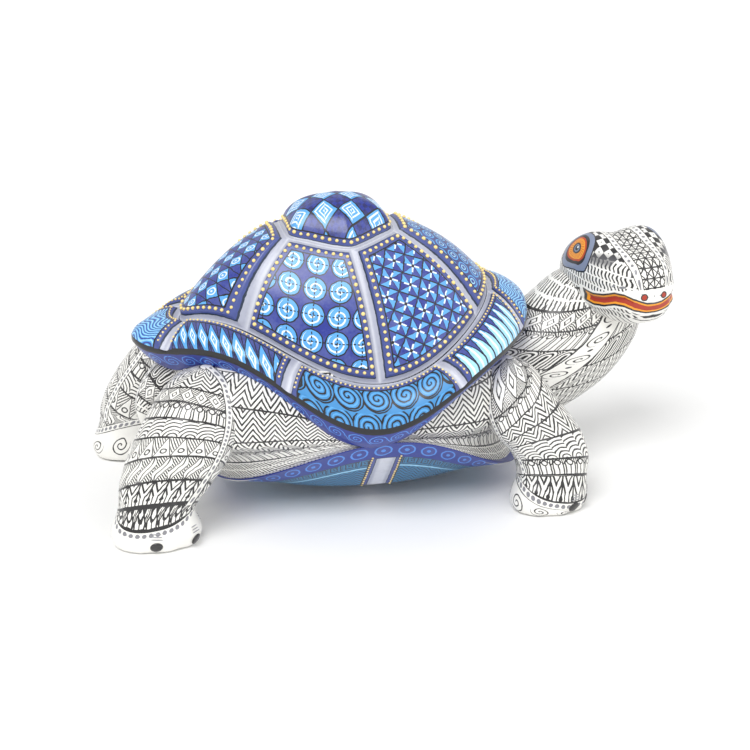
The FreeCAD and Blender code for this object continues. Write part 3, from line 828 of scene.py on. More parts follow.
def make_crown(sizes, material):
    """The domed top scute."""
    columns = 300
    angle = np.linspace(-math.pi, math.pi, columns, endpoint=False)
    inset = np.concatenate([np.arange(0, 4, 0.4), 25.5 - 21.5 * np.linspace(1, 0, 34) ** 1.3])
    points, distance = crown_surface(angle[None, :], inset[:, None], sizes)
    cell = np.stack([points[..., 0] - DOME_MIDDLE, points[..., 1], distance], -1)
    under = points[::-5].copy()
    under[..., 2] = np.minimum(under[..., 2] - SCUTE_THICK, DOME_FOOT - 4)
    rings = np.concatenate([points[::-1], under[::-1]])
    cells = np.concatenate([cell[::-1], np.zeros(under.shape)])
    kind = np.full((len(rings) - 1, columns, 3), (MOTIF["crown_checks"], 5.2, 1.0))
    wide = np.concatenate([cells, cells[:, :1]], 1)
    flat, faces, corner, kinds = capped_rings(rings, wide[:-1], wide[1:], kind)
    return new_piece("carapace_crown_scute", flat, faces, material, ["carapace"],
                     corner_data={"cell": corner}, face_data={"kind": kinds})


def make_borders(sizes, material):
    """The eight border scutes, the rim and the band under it."""
    zone = borders(sizes)
    place = scute_places(zone.count, 96, 0.35)
    share = eased(46, 0.35)
    top, cell, number = zone.carved(share[:, None], place[None, :], sizes)
    steps = np.arange(zone.count + 1)
    turn = np.interp(place, steps, zone.outer_seams)
    along = np.concatenate([[0], np.cumsum(np.linalg.norm(np.diff(edge_line(turn), axis=0), axis=1))])
    along *= SPIRAL_PITCH * round(along[-1] / SPIRAL_PITCH) / along[-1]
    low_rim = edge_line(turn, 0, RIM_THICK)
    line_end = edge_line(turn, 0, RIM_THICK * 0.4)
    band_end = edge_line(turn, BAND_INSET, BAND_DROP)
    rows = [top, line_end[None]]
    cells = [cell, np.stack([along, 0 * along, 0 * along + 30], -1)[None]]
    for part in np.linspace(0, 1, 16):
        line = low_rim * (1 - part) + band_end * part
        line[:, 2] -= 0.9 * np.sin(math.pi * part)
        rows.append(line[None])
        depth = np.full(len(place), 0.5 + part * 14.0)
        cells.append(np.stack([along, depth, depth * 0 + 30], -1)[None])
    seat = np.stack([2 + 50 * np.cos(turn), 30 * np.sin(turn), 0 * turn + 66], -1)
    under = ring_line(turn)
    under[:, 2] -= 6.0
    for line in (band_end * 0.5 + seat * 0.5, seat, seat * 0.4 + under * 0.6, under):
        rows.append(line[None])
        cells.append(np.full((1, len(place), 3), 30.0))
    rings, cells = np.concatenate(rows), np.concatenate(cells)
    motif = np.array([MOTIF[name] for name in BORDER_MOTIFS])[number[0]]
    kind = np.zeros((len(rings), len(place)))
    kind[:len(share) - 1] = motif
    kind[len(share) - 1:] = MOTIF["running_spirals"]
    kind[len(share) - 2:len(share)] = MOTIF["rim_line"]
    return scute_ring("carapace_border_scutes", rings, cells, kind, 4.2, material)


# ---------------------------------------------------------------- shell: gold dots


def dot_tree():
    """Geometry nodes that set small balls along the edges of a mesh of lines."""
    tree = bpy.data.node_groups.new("dots_along_lines", "GeometryNodeTree")
    for name, kind in (("Lines", "Geometry"), ("Pitch", "Float"), ("Radius", "Float"), ("Paint", "Material")):
        tree.interface.new_socket(name, in_out="INPUT", socket_type="NodeSocket" + kind)
    tree.interface.new_socket("Dots", in_out="OUTPUT", socket_type="NodeSocketGeometry")
    new, link = tree.nodes.new, tree.links.new
    source, result = new("NodeGroupInput"), new("NodeGroupOutput")
    curve = new("GeometryNodeMeshToCurve")
    points = new("GeometryNodeCurveToPoints")
    points.mode = "LENGTH"
    ball = new("GeometryNodeMeshUVSphere")
    ball.inputs["Segments"].default_value = 9
    ball.inputs["Rings"].default_value = 6
    vary = new("FunctionNodeRandomValue")
    vary.data_type = "FLOAT"
    vary.inputs["Min"].default_value = 0.86
    vary.inputs["Max"].default_value = 1.12
    vary.inputs["Seed"].default_value = 7
    instance, real = new("GeometryNodeInstanceOnPoints"), new("GeometryNodeRealizeInstances")
    smooth, paint = new("GeometryNodeSetShadeSmooth"), new("GeometryNodeSetMaterial")
    link(source.outputs["Lines"], curve.inputs["Mesh"])
    link(curve.outputs["Curve"], points.inputs["Curve"])
    link(source.outputs["Pitch"], points.inputs["Length"])
    link(source.outputs["Radius"], ball.inputs["Radius"])
    link(points.outputs["Points"], instance.inputs["Points"])
    link(points.outputs["Rotation"], instance.inputs["Rotation"])
    link(ball.outputs["Mesh"], instance.inputs["Instance"])
    link([o for o in vary.outputs if o.type == "VALUE"][0], instance.inputs["Scale"])
    link(instance.outputs["Instances"], real.inputs["Geometry"])
    link(real.outputs["Geometry"], smooth.inputs["Geometry"])
    link(smooth.outputs["Geometry"], paint.inputs["Geometry"])
    link(source.outputs["Paint"], paint.inputs["Material"])
    link(paint.outputs["Geometry"], result.inputs["Dots"])
    return tree


def dots_along(name, lines, pitch, ball_radius, material, closed=True):
    """A plain mesh of balls along lines given in mm in the body's frame."""
    points, edges = [], []
    for line in lines:
        first, count = len(points), len(line)
        points.extend(line)
        edges.extend((first + i, first + (i + 1) % count) for i in range(count if closed else count - 1))
    mesh = bpy.data.meshes.new(name + "_lines")
    mesh.from_pydata(placed(points), edges, [])
    carrier = added(name + "_lines", mesh)
    tree = bpy.data.node_groups.get("dots_along_lines") or dot_tree()
    modifier = carrier.modifiers.new("dots", "NODES")
    modifier.node_group = tree
    for socket, value in (("Pitch", pitch * MM), ("Radius", ball_radius * MM), ("Paint", material)):
        modifier[tree.interface.items_tree[socket].identifier] = value
    evaluated = carrier.evaluated_get(bpy.context.evaluated_depsgraph_get())
    result = bpy.data.meshes.new_from_object(evaluated)
    bpy.data.objects.remove(carrier)
    result.materials.clear()
    result.materials.append(material)
    piece = added(name, result)
    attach(piece, "root")
    return piece


def scute_border(zone, number, inset, sizes, lift, open_outer=False):
    """A closed line round one scute, a fixed distance in from its channels."""
    even = np.linspace(0, 1, 40)
    shares = np.concatenate([even * 0, even, even * 0 + 1, 1 - even])
    sides = np.concatenate([even, even * 0 + 1, 1 - even, even * 0])
    _, _, length = zone.base(np.full(shares.shape, 0.5), number + sides)
    low = inset / length
    high = 1 - (0.5 * inset if open_outer else inset) / length
    share = low + (high - low) * shares
    start, _, _ = zone.base(share, np.full(share.shape, float(number)))
    end, _, _ = zone.base(share, np.full(share.shape, number + 1.0))
    margin = inset / (np.linalg.norm(end - start, axis=-1) * SEAM_SPREAD)
    place = number + margin + (1 - 2 * margin) * sides
    points, _, _ = zone.carved(share, place, sizes)
    points[:, 2] += lift
    return points, shares


def make_gold_dots(sizes, material):
    """Raised dots inside every border of the large, the top and the border scutes."""
    zone = costals(sizes)
    large = [scute_border(zone, number, 4.0, sizes, 0.25)[0] for number in range(zone.count)]
    angle = np.linspace(-math.pi, math.pi, 240, endpoint=False)
    inset = np.arange(0, 12, 0.1)
    points, distance = crown_surface(angle[None, :], inset[:, None], sizes)
    row = np.argmin(np.abs(distance - 4.2), axis=0)
    large.append(points[row, np.arange(len(angle))])
    dots_along("carapace_gold_dots", large, sizes.dot_pitch, sizes.dot_radius, material)
    small, outer = [], 0.93
    zone = borders(sizes)
    for number in range(zone.count):
        line, shares = scute_border(zone, number, 3.2, sizes, 0.1, True)
        gap = np.flatnonzero(shares >= outer)
        start = gap[np.argmax(np.diff(np.append(gap, gap[0] + len(line))))] + 1
        line, shares = np.roll(line, -start, axis=0), np.roll(shares, -start)
        small.append(line[shares < outer])
    dots_along("border_gold_dots", small, sizes.small_dot_pitch, sizes.small_dot_radius, material,
               False)


# ---------------------------------------------------------------- paint: the body's motifs

PLAIN_INK, GREY_INK = 1, 2


def zigzags(x, y, length, width):
    """Nested zigzag lines across the band."""
    return ((y - x.size() * 1.75) / 2.75).fract().under(0.42)


def pencils(x, y, length, width):
    """Upright bars with a roof, a ring and a stem."""
    wall = x.size().on(length * 0.40, 0.24)
    top = y - width * 0.26
    ring = radius(x, top).near(0.95, 0.24)
    stem = x.size().under(0.2).both(top.under(-1.0))
    roof = y + x.size() * 0.9 - width * 0.47
    hatch = (x / 0.9 + y / 1.3).fract().under(0.5).both(roof.over(0))
    return wall.both(roof.under(0)).either(ring).either(stem).either(hatch).either(roof.size().under(0.25))


def arches(x, y, length, width):
    """Nested arches standing side by side."""
    lift = (y - width * 0.5 + length * 0.5).by("MAXIMUM", 0.0)
    r = radius(x, lift)
    ink = (r / length * 4.4).fract().under(0.42).both(r.under(length * 0.46))
    corner = r.over(length * 0.5).both(((x + y) / 1.5).fract().under(0.45))
    return ink.either(corner).either(r.near(length * 0.48, 0.25))


def scales(x, y, length, width):
    """Nested arcs, like fish scales."""
    r = radius(x + length * 0.2, y + width * 0.5)
    return (r / 1.4).fract().under(0.36)


def lozenges(x, y, length, width):
    """Diamonds with a small square, hatched between."""
    reach = x.size() / length * 2 + y.size() / width * 2
    ring = reach.near(0.94, 0.07).either(reach.near(0.36, 0.08))
    return ring.either(reach.over(1.02).both(((x + y) / 0.95).fract().under(0.5)))


def tents(x, y, length, width):
    """Triangles with a ring in each, hatched between."""
    slope = y / width + 0.5 - (x.size() / length * -2 + 1)
    ring = radius(x, y + width * 0.2).near(0.9, 0.24)
    hatch = slope.over(0.1).both(((x - y * 0.6) / 0.95).fract().under(0.42))
    return slope.size().under(0.06).either(ring.both(slope.under(-0.1))).either(hatch)


def leaves(x, y, length, width):
    """Leaning leaves with a wavy middle line."""
    bend = x + (y * (TURN / 8.0)).sine() * 0.7 + y * 0.25
    leaf = bend.size() / length * 2.3 + (y / width) * (y / width) * 3.2
    line = leaf.near(0.85, 0.09).either(bend.size().under(0.22).both(leaf.under(0.8)))
    return line.either(leaf.over(1.0).both(((x - y) / 0.95).fract().under(0.5)))


def arrows(x, y, length, width):
    """Upright stripes whose tips are stacked arrow heads."""
    head = ((y - x.size() * 1.5) / 2.5).fract().under(0.4)
    high = (y + x.size() * 1.5).over(0.3)
    return high.both(head).either((x.size().on(length * 0.5, 0.3)).either(
        x.size().on(length * 0.17, 0.22).both(high.inverse())))


def ticks(x, y, length, width):
    """Short leaning strokes in rows."""
    stroke = ((x + y * 0.45) / 1.25).fract().under(0.42)
    return stroke.both((y / 3.1 + x * 0.02).fract().over(0.2))


def suns(x, y, length, width):
    """Rays round a ringed middle."""
    r = radius(x, y)
    rays = (y.by("ARCTAN2", x) * (15 / TURN)).fract().under(0.38).both(r.over(1.9))
    rays = rays.both(r.under(width * 0.42))
    return rays.either(r.near(1.3, 0.3)).either(r.on(width * 0.44, 0.26))


def free_spirals(x, y, length, width):
    """A spiral of two turns in each cell, on a plain ground."""
    r = radius(x, y)
    return spiral(x, y, 1.7).under(0.27).both(r.under(3.5))


def dot_row(x, y, length, width):
    """A row of grey dots."""
    return radius(x, y).under(0.80)


def bare(x, y, length, width):
    """No line work."""
    return x * 0


BODY_MOTIFS = [bare, zigzags, pencils, arches, scales, lozenges, tents, leaves, arrows, ticks, suns,
               free_spirals, dot_row]
BAND = {motif.__name__: index for index, motif in enumerate(BODY_MOTIFS)}
# How much bolder the body's line work is than its motifs say.
LINE_SCALE = 1.3


def body_finish(paint, code, paints, extra=(), painted_shade=None):
    """Warm white ground, ink and the further colours of extra, with painted shade where it is given, under
    satin varnish.
    """
    strength = paint.noise(120.0, 2.0)
    colours = [tuple(paints.body), tuple(paints.ink), tuple(paints.grey), *extra]
    flat = paint.palette(code, colours)
    wood = paint.noise(35.0, 3.0)
    ground = paint.mixed(wood * 0.9, tuple(paints.body), (0.93, 0.915, 0.87))
    is_ground = code.under(0.5)
    tone = paint.mixed(is_ground, flat, ground)
    faint = (strength - 0.52).by("MAXIMUM", 0.0) * 1.1 * code.near(1, 0.4)
    tone = paint.mixed(faint, tone, (0.30, 0.29, 0.30))
    # The optional last argument darkens the colour towards near black: painted shade.
    if painted_shade is not None:
        tone = paint.mixed(painted_shade, tone, (0.09, 0.09, 0.10))
    brush = paint.noise(330.0, 2.0, 0.6)
    relief = brush * 0.5 + is_ground * 0.35
    return paint.finish(tone, relief, brush * 0.18 + 0.27, bump_mm=0.10)


def body_paint(paints):
    """Black line work in bands on warm white, with dotted white strips along the limbs."""
    paint = Paint("body_paint")
    around, across, _ = paint.attribute("cell")
    kind, length, width = paint.attribute("kind")
    strip, along, reach = paint.attribute("strip")
    wobble = paint.noise(300.0, 1.0) - 0.5
    x = (around.fract() - 0.5) * length + wobble * 0.9
    y = (across - 0.5) * width + wobble * 0.9
    code = paint.number(0)
    bold = 1 / LINE_SCALE
    for index, motif in enumerate(BODY_MOTIFS[1:], 1):
        part = (x * bold, y * bold, length * bold, width * bold)
        ink = motif(*part).both(kind.near(index, 0.5))
        code = ink.blend(code, GREY_INK if motif is dot_row else PLAIN_INK)
    rim = ((across - 0.5).size() * -1 + 0.5) * width + wobble * 0.5
    bounded = kind.over(0.5).both(kind.under(BAND["dot_row"] - 0.5))
    code = rim.under(0.46).both(bounded).blend(code, PLAIN_INK)
    off = strip + wobble * 0.4
    side = off.size()
    present, wide = reach.over(0.1), reach.over(2.5)
    code = (side - reach).under(0.5).both(present).blend(code, PLAIN_INK)
    code = (side - reach).under(0.0).both(present).blend(code, 0)
    dots = radius(off, along.wrapped(2.5)).under(0.8).both(reach.under(2.5)).both(present)
    code = dots.blend(code, GREY_INK)
    curl_pitch = 9.5
    p = along.wrapped(curl_pitch)
    curls = spiral(off, p, 1.6).under(0.27).both(radius(off, p).under(2.9))
    points = radius(off, (along + curl_pitch / 2).wrapped(curl_pitch)).under(0.62)
    code = curls.either(points).both(wide).blend(code, PLAIN_INK)
    return body_finish(paint, code, paints)


# ---------------------------------------------------------------- plastron


BELLY_MIDDLE = 17.0


def plastron_rim(turn):
    """The rim of the belly plate, low at both ends and high at the waist."""
    steep = 3.3 + 0.7 * np.cos(turn)
    height = 16 + 29 * np.abs(np.sin(turn)) ** steep
    return np.stack([BELLY_MIDDLE + 73 * np.cos(turn), 57 * np.sin(turn), height], -1)


def level_oval(turn, half_length, half_width, height):
    """A level line round the belly plate."""
    return np.stack([BELLY_MIDDLE + half_length * np.cos(turn), half_width * np.sin(turn),
                     height + 0 * turn], -1)


def chine_line(turn):
    """The line where the belly plate's flank meets its floor."""
    return level_oval(turn, 59, 33, 14.5)


def flank(turn, share):
    """Points part of the way from the rim down to the chine, and the whole way's length."""
    rim, chine = plastron_rim(turn), chine_line(turn)
    out = rim - chine
    length = np.linalg.norm(out, axis=-1, keepdims=True)
    bulge = 1.6 * math.sin(math.pi * share) * (np.array([0, 0, -0.6]) + out / length * 0.4)
    return rim * (1 - share) + chine * share + bulge, length[:, 0]


def plastron_rows(turn):
    """Rows of the belly plate from the middle of its top to its floor, and their distance from the rim."""
    rim, chine = plastron_rim(turn), chine_line(turn)
    seat, floor = level_oval(turn, 38, 23, 29), level_oval(turn, 44, 18, 10)
    rows, reach = [], []
    for share in np.linspace(0, 1, 14)[:-1]:
        rows.append(seat * (1 - share) + rim * share)
        reach.append(-1.0)
    for share in np.linspace(0, 1, 40):
        row, length = flank(turn, share)
        rows.append(row)
        reach.append(share)
    for share in np.linspace(0, 1, 12)[1:]:
        rows.append(chine * (1 - share) + floor * share)
        reach.append(1 + share * 0.6)
    return np.array(rows), np.array(reach), length


def from_grey_band(points, depth):
    """How far ahead of the slanting middle line of the belly plate each point lies."""
    return points[..., 0] - BELLY_MIDDLE + 0.05 * (depth - 10)


def make_plastron(material):
    """The belly plate, with its ringed rim, frets and grey middle band."""
    columns = 360
    turn = np.linspace(0, TURN, columns, endpoint=False)
    rows, reach, length = plastron_rows(turn)
    around = np.append(turn, TURN)
    along = np.concatenate([[0], np.cumsum(np.linalg.norm(np.diff(plastron_rim(around), axis=0), axis=1))])
    along *= RING_PITCH * round(along[-1] / RING_PITCH) / along[-1]
    depth = np.clip(reach, 0, None)[:, None] * np.append(length, length[0])[None, :]
    wide = np.concatenate([rows, rows[:, :1]], 1)
    band = np.abs(from_grey_band(wide, depth)) - 2.2
    band = np.where(depth > 12.7, np.clip(band, 0, 30), 30.0)
    cell = np.stack([np.broadcast_to(along, depth.shape), depth, band], -1)
    kind = np.zeros((len(rows) - 1, columns, 3))
    middle_depth = (depth[:-1, :-1] + depth[1:, :-1]) / 2
    kind[..., 0] = np.where(middle_depth < 13.0, MOTIF["rim_circles"], MOTIF["frets"])
    kind[..., 1], kind[..., 2] = 4.6, 0.8
    flat, faces, corner, kinds = capped_rings(rows, cell[:-1], cell[1:], kind)
    return new_piece("plastron_plate", flat, faces, material, ["plastron"],
                     corner_data={"cell": corner}, face_data={"kind": kinds})


def plastron_dot_lines():
    """Open lines of points each side of the grey band, on both flanks of the belly plate."""
    lines = []
    for side in (-1, 1):
        for edge in (-6.4, 6.4):
            line = []
            for share in np.linspace(0.30, 1.0, 24):
                points, length = flank(side * np.linspace(0.3, 0.7, 400) * math.pi, share)
                offset = from_grey_band(points, share * length) - edge
                line.append(points[np.argmin(np.abs(offset))])
            lines.append(line)
    return lines


# ---------------------------------------------------------------- limbs


def smooth_table(table, at):
    """Columns of a table of stations, smoothly between its first column's values."""
    table = np.array(table, float)
    key, values = table[:, 0], table[:, 1:]
    slope = np.gradient(values, key, axis=0)
    at = np.clip(at, key[0], key[-1])
    index = np.clip(np.searchsorted(key, at, side="right") - 1, 0, len(key) - 2)
    span = key[index + 1] - key[index]
    t = ((at - key[index]) / span)[..., None]
    span = span[..., None]
    a, b = values[index], values[index + 1]
    p, q = slope[index] * span, slope[index + 1] * span
    start, end = 2 * t ** 3 - 3 * t ** 2 + 1, 3 * t ** 2 - 2 * t ** 3
    leave, arrive = t ** 3 - 2 * t ** 2 + t, t ** 3 - t ** 2
    return start * a + leave * p + end * b + arrive * q


def squared(angle, power):
    """Cosine and sine of a slightly squared circle."""
    c, s = np.cos(angle), np.sin(angle)
    return np.sign(c) * np.abs(c) ** (2 / power), np.sign(s) * np.abs(s) ** (2 / power)


# Leg stations: height, ahead of the hip point, outward of it, half length, half width.
REAR_LEG = [(4, -36, -14, 17.8, 12.5), (9, -35.5, -14, 19.6, 13.5), (19.5, -35, -13, 16.8, 13),
            (31, -30, -11.5, 20.2, 14.5), (44, -22.5, -8, 22.5, 16.5), (58.5, -15.5, -3.5, 20.5, 17),
            (67.5, -12.5, 0, 16.5, 14.5), (74, -10, 3.5, 9.5, 9),
            (77, -9, 4, 2, 2)]
FRONT_LEG = [(4, 37, -14.5, 16, 12.5), (9, 37.5, -14.5, 17.2, 13.5), (19.5, 39.2, -14, 15.8, 13),
             (30, 38.2, -13.5, 17.2, 14), (42.5, 31, -11.5, 19.6, 15.5), (53.5, 25.2, -8, 17.2, 15.5),
             (62.5, 22.7, -4, 13.6, 13.2), (68.5, 21.4, -0.5, 9, 8.5),
             (72, 21, 0, 2, 2)]
REAR_HIP = (-49.7, -34.9)
FRONT_HIP = (53.7, -34.9)
SOLE_ROUND = 2.6


def leg_surface(stations, hip, side):
    """Points of a leg from height and angle; angle 0 is ahead and a quarter turn is outward."""
    def surface(height, angle):
        ahead, outward_, half_long, half_wide = np.moveaxis(smooth_table(stations, height), -1, 0)
        over = height - FLOOR
        below = np.clip(SOLE_ROUND - over, 0, SOLE_ROUND)
        inset = SOLE_ROUND - np.sqrt(np.clip(SOLE_ROUND ** 2 - below ** 2, 0, None))
        toes = np.clip(1 - over / 9.0, 0, 1) * np.clip(np.cos(angle - 0.9), 0, 1)
        swell = 0.5 * toes * np.cos(angle * 9.0)
        c, s = squared(angle, 2.25)
        x = hip[0] + ahead + (half_long - inset + swell) * c
        y = -(hip[1] + outward_) + (half_wide - inset + swell) * s
        return np.stack([x, side * y, height], -1)
    return surface


def leaning_surface(stations, root, way):
    """Points of the neck or the tail; the key runs along it and angle 0 is its under side."""
    def surface(key, angle):
        ahead, left, height, lean, deep, wide = np.moveaxis(smooth_table(stations, key), -1, 0)
        lean = np.radians(lean)
        c, s = squared(angle, 2.1)
        x = root + ahead + way * np.cos(lean) * deep * c
        z = height - np.sin(lean) * deep * c
        return np.stack([x, left + wide * s, z], -1)
    return surface


# Neck and tail stations: key, ahead of the facet, leftward, height, lean, half depth, half width.
NECK = [(0, -12, 0, 41, 70, 25, 23), (1, 6, 0, 46, 62, 26, 24), (2, 26, 1, 54, 52, 26.5, 23.5),
        (3, 44, 2, 66, 44, 27, 23), (4, 57, 4, 80, 34, 25, 18.5), (5, 63, 4, 93, 22, 17, 13)]
TAIL = [(0, 8, 0, 63, 96, 12, 11), (1, -3, 0, 60.5, 112, 11.5, 10.5), (2, -11.5, 0, 54, 134, 9, 8),
        (3, -16, 0, 46.5, 156, 6.4, 5.6), (4, -17, 0, 39.5, 174, 3.4, 3)]


# Torso stations above the belly plate: height, half length, half width.
TORSO = [(46, 76, 54), (60, 74.5, 52), (76, 71, 46)]
TORSO_FOOT = TORSO[0][0]


def torso_surface(height, angle):
    """Points of the torso, swelling towards each leg."""
    above = np.maximum(height, TORSO_FOOT)
    half_long, half_wide = np.moveaxis(smooth_table(TORSO, above), -1, 0)
    fold = np.abs((angle + math.pi) % TURN - math.pi)
    fold = np.minimum(fold, math.pi - fold)
    swell = 15 * np.exp(-((fold - 0.75) / 0.34) ** 2 - ((height - 56) / 18) ** 4)
    upper = np.stack([2 + (half_long + swell) * np.cos(angle), (half_wide + swell) * np.sin(angle),
                      above], -1)
    rim = plastron_rim(angle + 0 * height) * (0.965, 0.965, 1) - (0, 0, 1.2)
    share = np.clip((TORSO_FOOT - height) / 24, 0, 1)[..., None]
    return upper * (1 - share) + rim * share


def banded(name, surface, borders, motifs, columns, step, material, node, strips=()):
    """A limb in painted bands.

    borders are functions of the angle that give the key of each border line, motifs hold the
    motif and cell length between each pair of them, and strips hold the angle of each
    lengthwise strip as a function of the key, its half width and the key where it starts.
    """
    angle = np.linspace(0, TURN, columns, endpoint=False)
    lines = np.array([border(angle) + 0 * angle for border in borders])
    slack = (lines[-1] - lines[0]) * 0.004 * np.arange(len(lines))[:, None]
    lines = np.clip(lines, lines[0] + slack, lines[-1] - slack[::-1])
    lines = np.maximum.accumulate(lines, axis=0)
    keys, low, high, kinds = [], [], [], []
    for number, (motif, cell) in enumerate(motifs):
        start, end = lines[number], lines[number + 1]
        width = np.linalg.norm(surface(end, angle) - surface(start, angle), axis=1)
        middle = surface((start + end) / 2, angle)
        around = np.linalg.norm(middle - np.roll(middle, 1, axis=0), axis=1)
        count = max(1, round(around.sum() / cell))
        turns = np.concatenate([[0], np.cumsum(np.roll(around, -1))])
        turns *= count / turns[-1]
        rows = max(2, round(width.mean() / step))
        for row in range(rows):
            keys.append(start + (end - start) * row / rows)
            low.append(np.stack([turns, turns * 0 + row / rows, turns * 0], -1))
            high.append(np.stack([turns, turns * 0 + (row + 1) / rows, turns * 0], -1))
            size = np.percentile(width, 60)
            kinds.append(np.full((columns, 3), (BAND[motif], around.sum() / count, size)))
    keys.append(lines[-1])
    keys = np.array(keys)
    points = surface(keys, angle[None, :] + 0 * keys)
    flat, faces, corner, kinds = capped_rings(points, np.array(low), np.array(high), np.array(kinds))
    kinds[-2 * columns:, 0] = BAND["bare"]
    strip = np.full((len(flat), 3), (50.0, 0.0, 0.0))
    centre = points.mean(axis=1)
    travel = np.concatenate([[0], np.cumsum(np.linalg.norm(np.diff(centre, axis=0), axis=1))])
    spread = np.linalg.norm(points - centre[:, None], axis=-1)
    for where, half, start in strips:
        off = (angle[None, :] - where(keys) + math.pi) % TURN - math.pi
        off = (off * spread).ravel()
        closer = np.abs(off) - half < np.abs(strip[:len(off), 0]) - strip[:len(off), 2]
        closer &= keys.ravel() > start
        values = np.stack([off, np.repeat(travel, columns), off * 0 + half], -1)
        strip[:len(off)][closer] = values[closer]
    return new_piece(name, flat, faces, material, [node],
                     point_data={"strip": strip}, corner_data={"cell": corner}, face_data={"kind": kinds})


def line(base, bow=0.0, tilt=0.0, turn=0.0):
    """A border at a key, which bows up at one turn round the limb and tilts a quarter turn on."""
    def border(angle):
        return base + bow * np.cos(angle - turn) + tilt * np.sin(angle - turn)
    return border


def leg_line(base, bow=0.0, tilt=0.0):
    """A border of a leg, which bows on its outer face."""
    return line(base, bow, tilt, 1.7)


def upright(turn):
    """A strip that keeps to one turn round the limb."""
    return lambda key: turn + 0 * key


def rear_leg_bands():
    """Borders and motifs of a rear leg, from the sole up."""
    borders = [(4,), (18.5, -6.5, -2.5), (21.5, -6.5, -2.5), (20.5, 7.0, -1), (27.5, 10.5), (37, 11, 1.5),
               (45.5, 9.5, 3), (53, 8.5, 4), (59.5, 7.5, 4), (65.5, 6, 3), (76.8,), (77,)]
    motifs = [("bare", 12), ("dot_row", 2.95), ("pencils", 5.4), ("arrows", 5.8), ("leaves", 7.0),
              ("tents", 7.4), ("scales", 7.4), ("pencils", 5.6), ("lozenges", 6.4), ("zigzags", 7.0),
              ("bare", 7)]
    return [leg_line(*border) for border in borders], motifs


def front_leg_bands():
    """Borders and motifs of a front leg, from the sole up."""
    borders = [(4,), (13.2, -4.2, 5.0), (16.2, -4.2, 5.0), (19.5, 5.5, 0.5), (27.5, 5.5), (36.5, 5.5, -4),
               (44, 3.5, -9), (51.5, 2, -12), (59, 1, -12), (71.8,), (72,)]
    motifs = [("bare", 12), ("dot_row", 2.95), ("arrows", 5.6), ("pencils", 5.6), ("scales", 7.0),
              ("zigzags", 8.4), ("zigzags", 7.4), ("pencils", 5.8), ("lozenges", 7.0), ("bare", 7)]
    return [leg_line(*border) for border in borders], motifs


def make_legs(material):
    """Four carved legs in painted bands, with a dotted strip along each."""
    strip_half, strip_start = 1.75, 24
    for end, stations, hip, bands, turned in (("rear", REAR_LEG, REAR_HIP, rear_leg_bands(), 0.95),
                                              ("front", FRONT_LEG, FRONT_HIP, front_leg_bands(), 2.72)):
        for side, word in ((-1, "right"), (1, "left")):
            borders, motifs = bands
            turns = [turned]
            node = "%s_%s_leg" % (end, word)
            if node in ("rear_left_leg", "front_right_leg"):
                motifs = [("free_spirals", 13.0)] + motifs[1:]
            if node == "rear_left_leg":
                turns.append(3.6)
            strips = [(upright(turn), strip_half, strip_start) for turn in turns]
            banded(node + "_carving", leg_surface(stations, hip, side), borders, motifs, 168, 0.9,
                   material, node, strips)


def make_torso(material):
    """The body between the shell and the belly plate, its bands drawn together at the waist."""
    def drawn(ends):
        lift = ends - TORSO_FOOT
        return lambda angle: TORSO_FOOT + lift * (0.12 + 0.88 * np.abs(np.cos(angle)) ** 0.8)
    borders = [line(22), line(22.4), line(31), line(39), drawn(50), drawn(72), line(75.6), line(76)]
    motifs = [("bare", 12), ("ticks", 7), ("pencils", 6.6), ("zigzags", 9.0), ("zigzags", 9.4),
              ("zigzags", 8.0), ("bare", 9)]
    banded("torso_carving", torso_surface, borders, motifs, 360, 1.2, material, "torso")


def make_tail(material):
    """The short tail, with a dotted strip along its back."""
    borders = [line(0), line(0.9), line(1.7), line(2.5), line(3.2), line(4)]
    motifs = [("zigzags", 6), ("arches", 5), ("lozenges", 5), ("ticks", 4), ("bare", 4)]
    banded("tail_carving", leaning_surface(TAIL, -66, -1), borders, motifs, 120, 0.8, material, "tail",
           [(upright(math.pi), 1.4, 0)])


def make_neck(material):
    """The neck in bold bands that hang from the nape, with a spiral strip from the jaw to the chest."""
    borders = [line(0), line(0.02)] + [line(base, 1.7) for base in (0.8, 1.6, 2.4, 3.1, 3.8, 4.5)] + [line(5)]
    motifs = [("bare", 9), ("zigzags", 9), ("zigzags", 8.4), ("zigzags", 8.0), ("arches", 9.0),
              ("pencils", 7.0), ("lozenges", 8.0), ("ticks", 7.0)]
    strips = [(lambda key, way=way: way * (1.66 - 0.06 * key) + 0 * key, 3.4, 0) for way in (-1, 1)]
    banded("neck_carving", leaning_surface(NECK, 70, 1), borders, motifs, 220, 0.9, material,
           "neck_and_head", strips)


# ---------------------------------------------------------------- head

# Head stations along its own axis: place, height of the middle, half height, half width.
HEAD = [(-29, -6.5, 11, 13), (-19, -3.6, 16.4, 21), (-4, 0, 20.0, 23.4), (10, -1.7, 18.9, 20.2),
        (21, -3, 15.9, 15.4), (27.5, -3.5, 11.8, 10.9), (29.6, -3.8, 8.6, 7.8), (30.6, -4, 4.4, 4.0)]
HEAD_MIDDLE = np.array([136.3, -4.0, 98.0])
HEAD_TURN = math.radians(78)
AHEAD = np.array([math.cos(HEAD_TURN), -math.sin(HEAD_TURN), 0.0])
ASIDE = np.array([-math.sin(HEAD_TURN), -math.cos(HEAD_TURN), 0.0])
# The eye's place and height, and how far over the surface from the crown its painted ring lies.
EYE = (-4.2, 10.8)
EYE_REACH = 23.7
# The mouth's line: place and height.
MOUTH = [(-8, -6.6), (5, -7.0), (10.5, -7.9), (16.5, -6.9), (21.5, -5.0), (25.8, -4.8), (29.4, -6.8),
         (30.6, -8.6)]


def bump_at(x, y, reach_x, reach_y):
    """A soft bump, 1 in its middle."""
    return np.exp(-(x / reach_x) ** 2 - (y / reach_y) ** 2)


def over_mouth(place, height):
    """Height over the mouth's line."""
    return height - np.interp(place, *np.array(MOUTH).T)


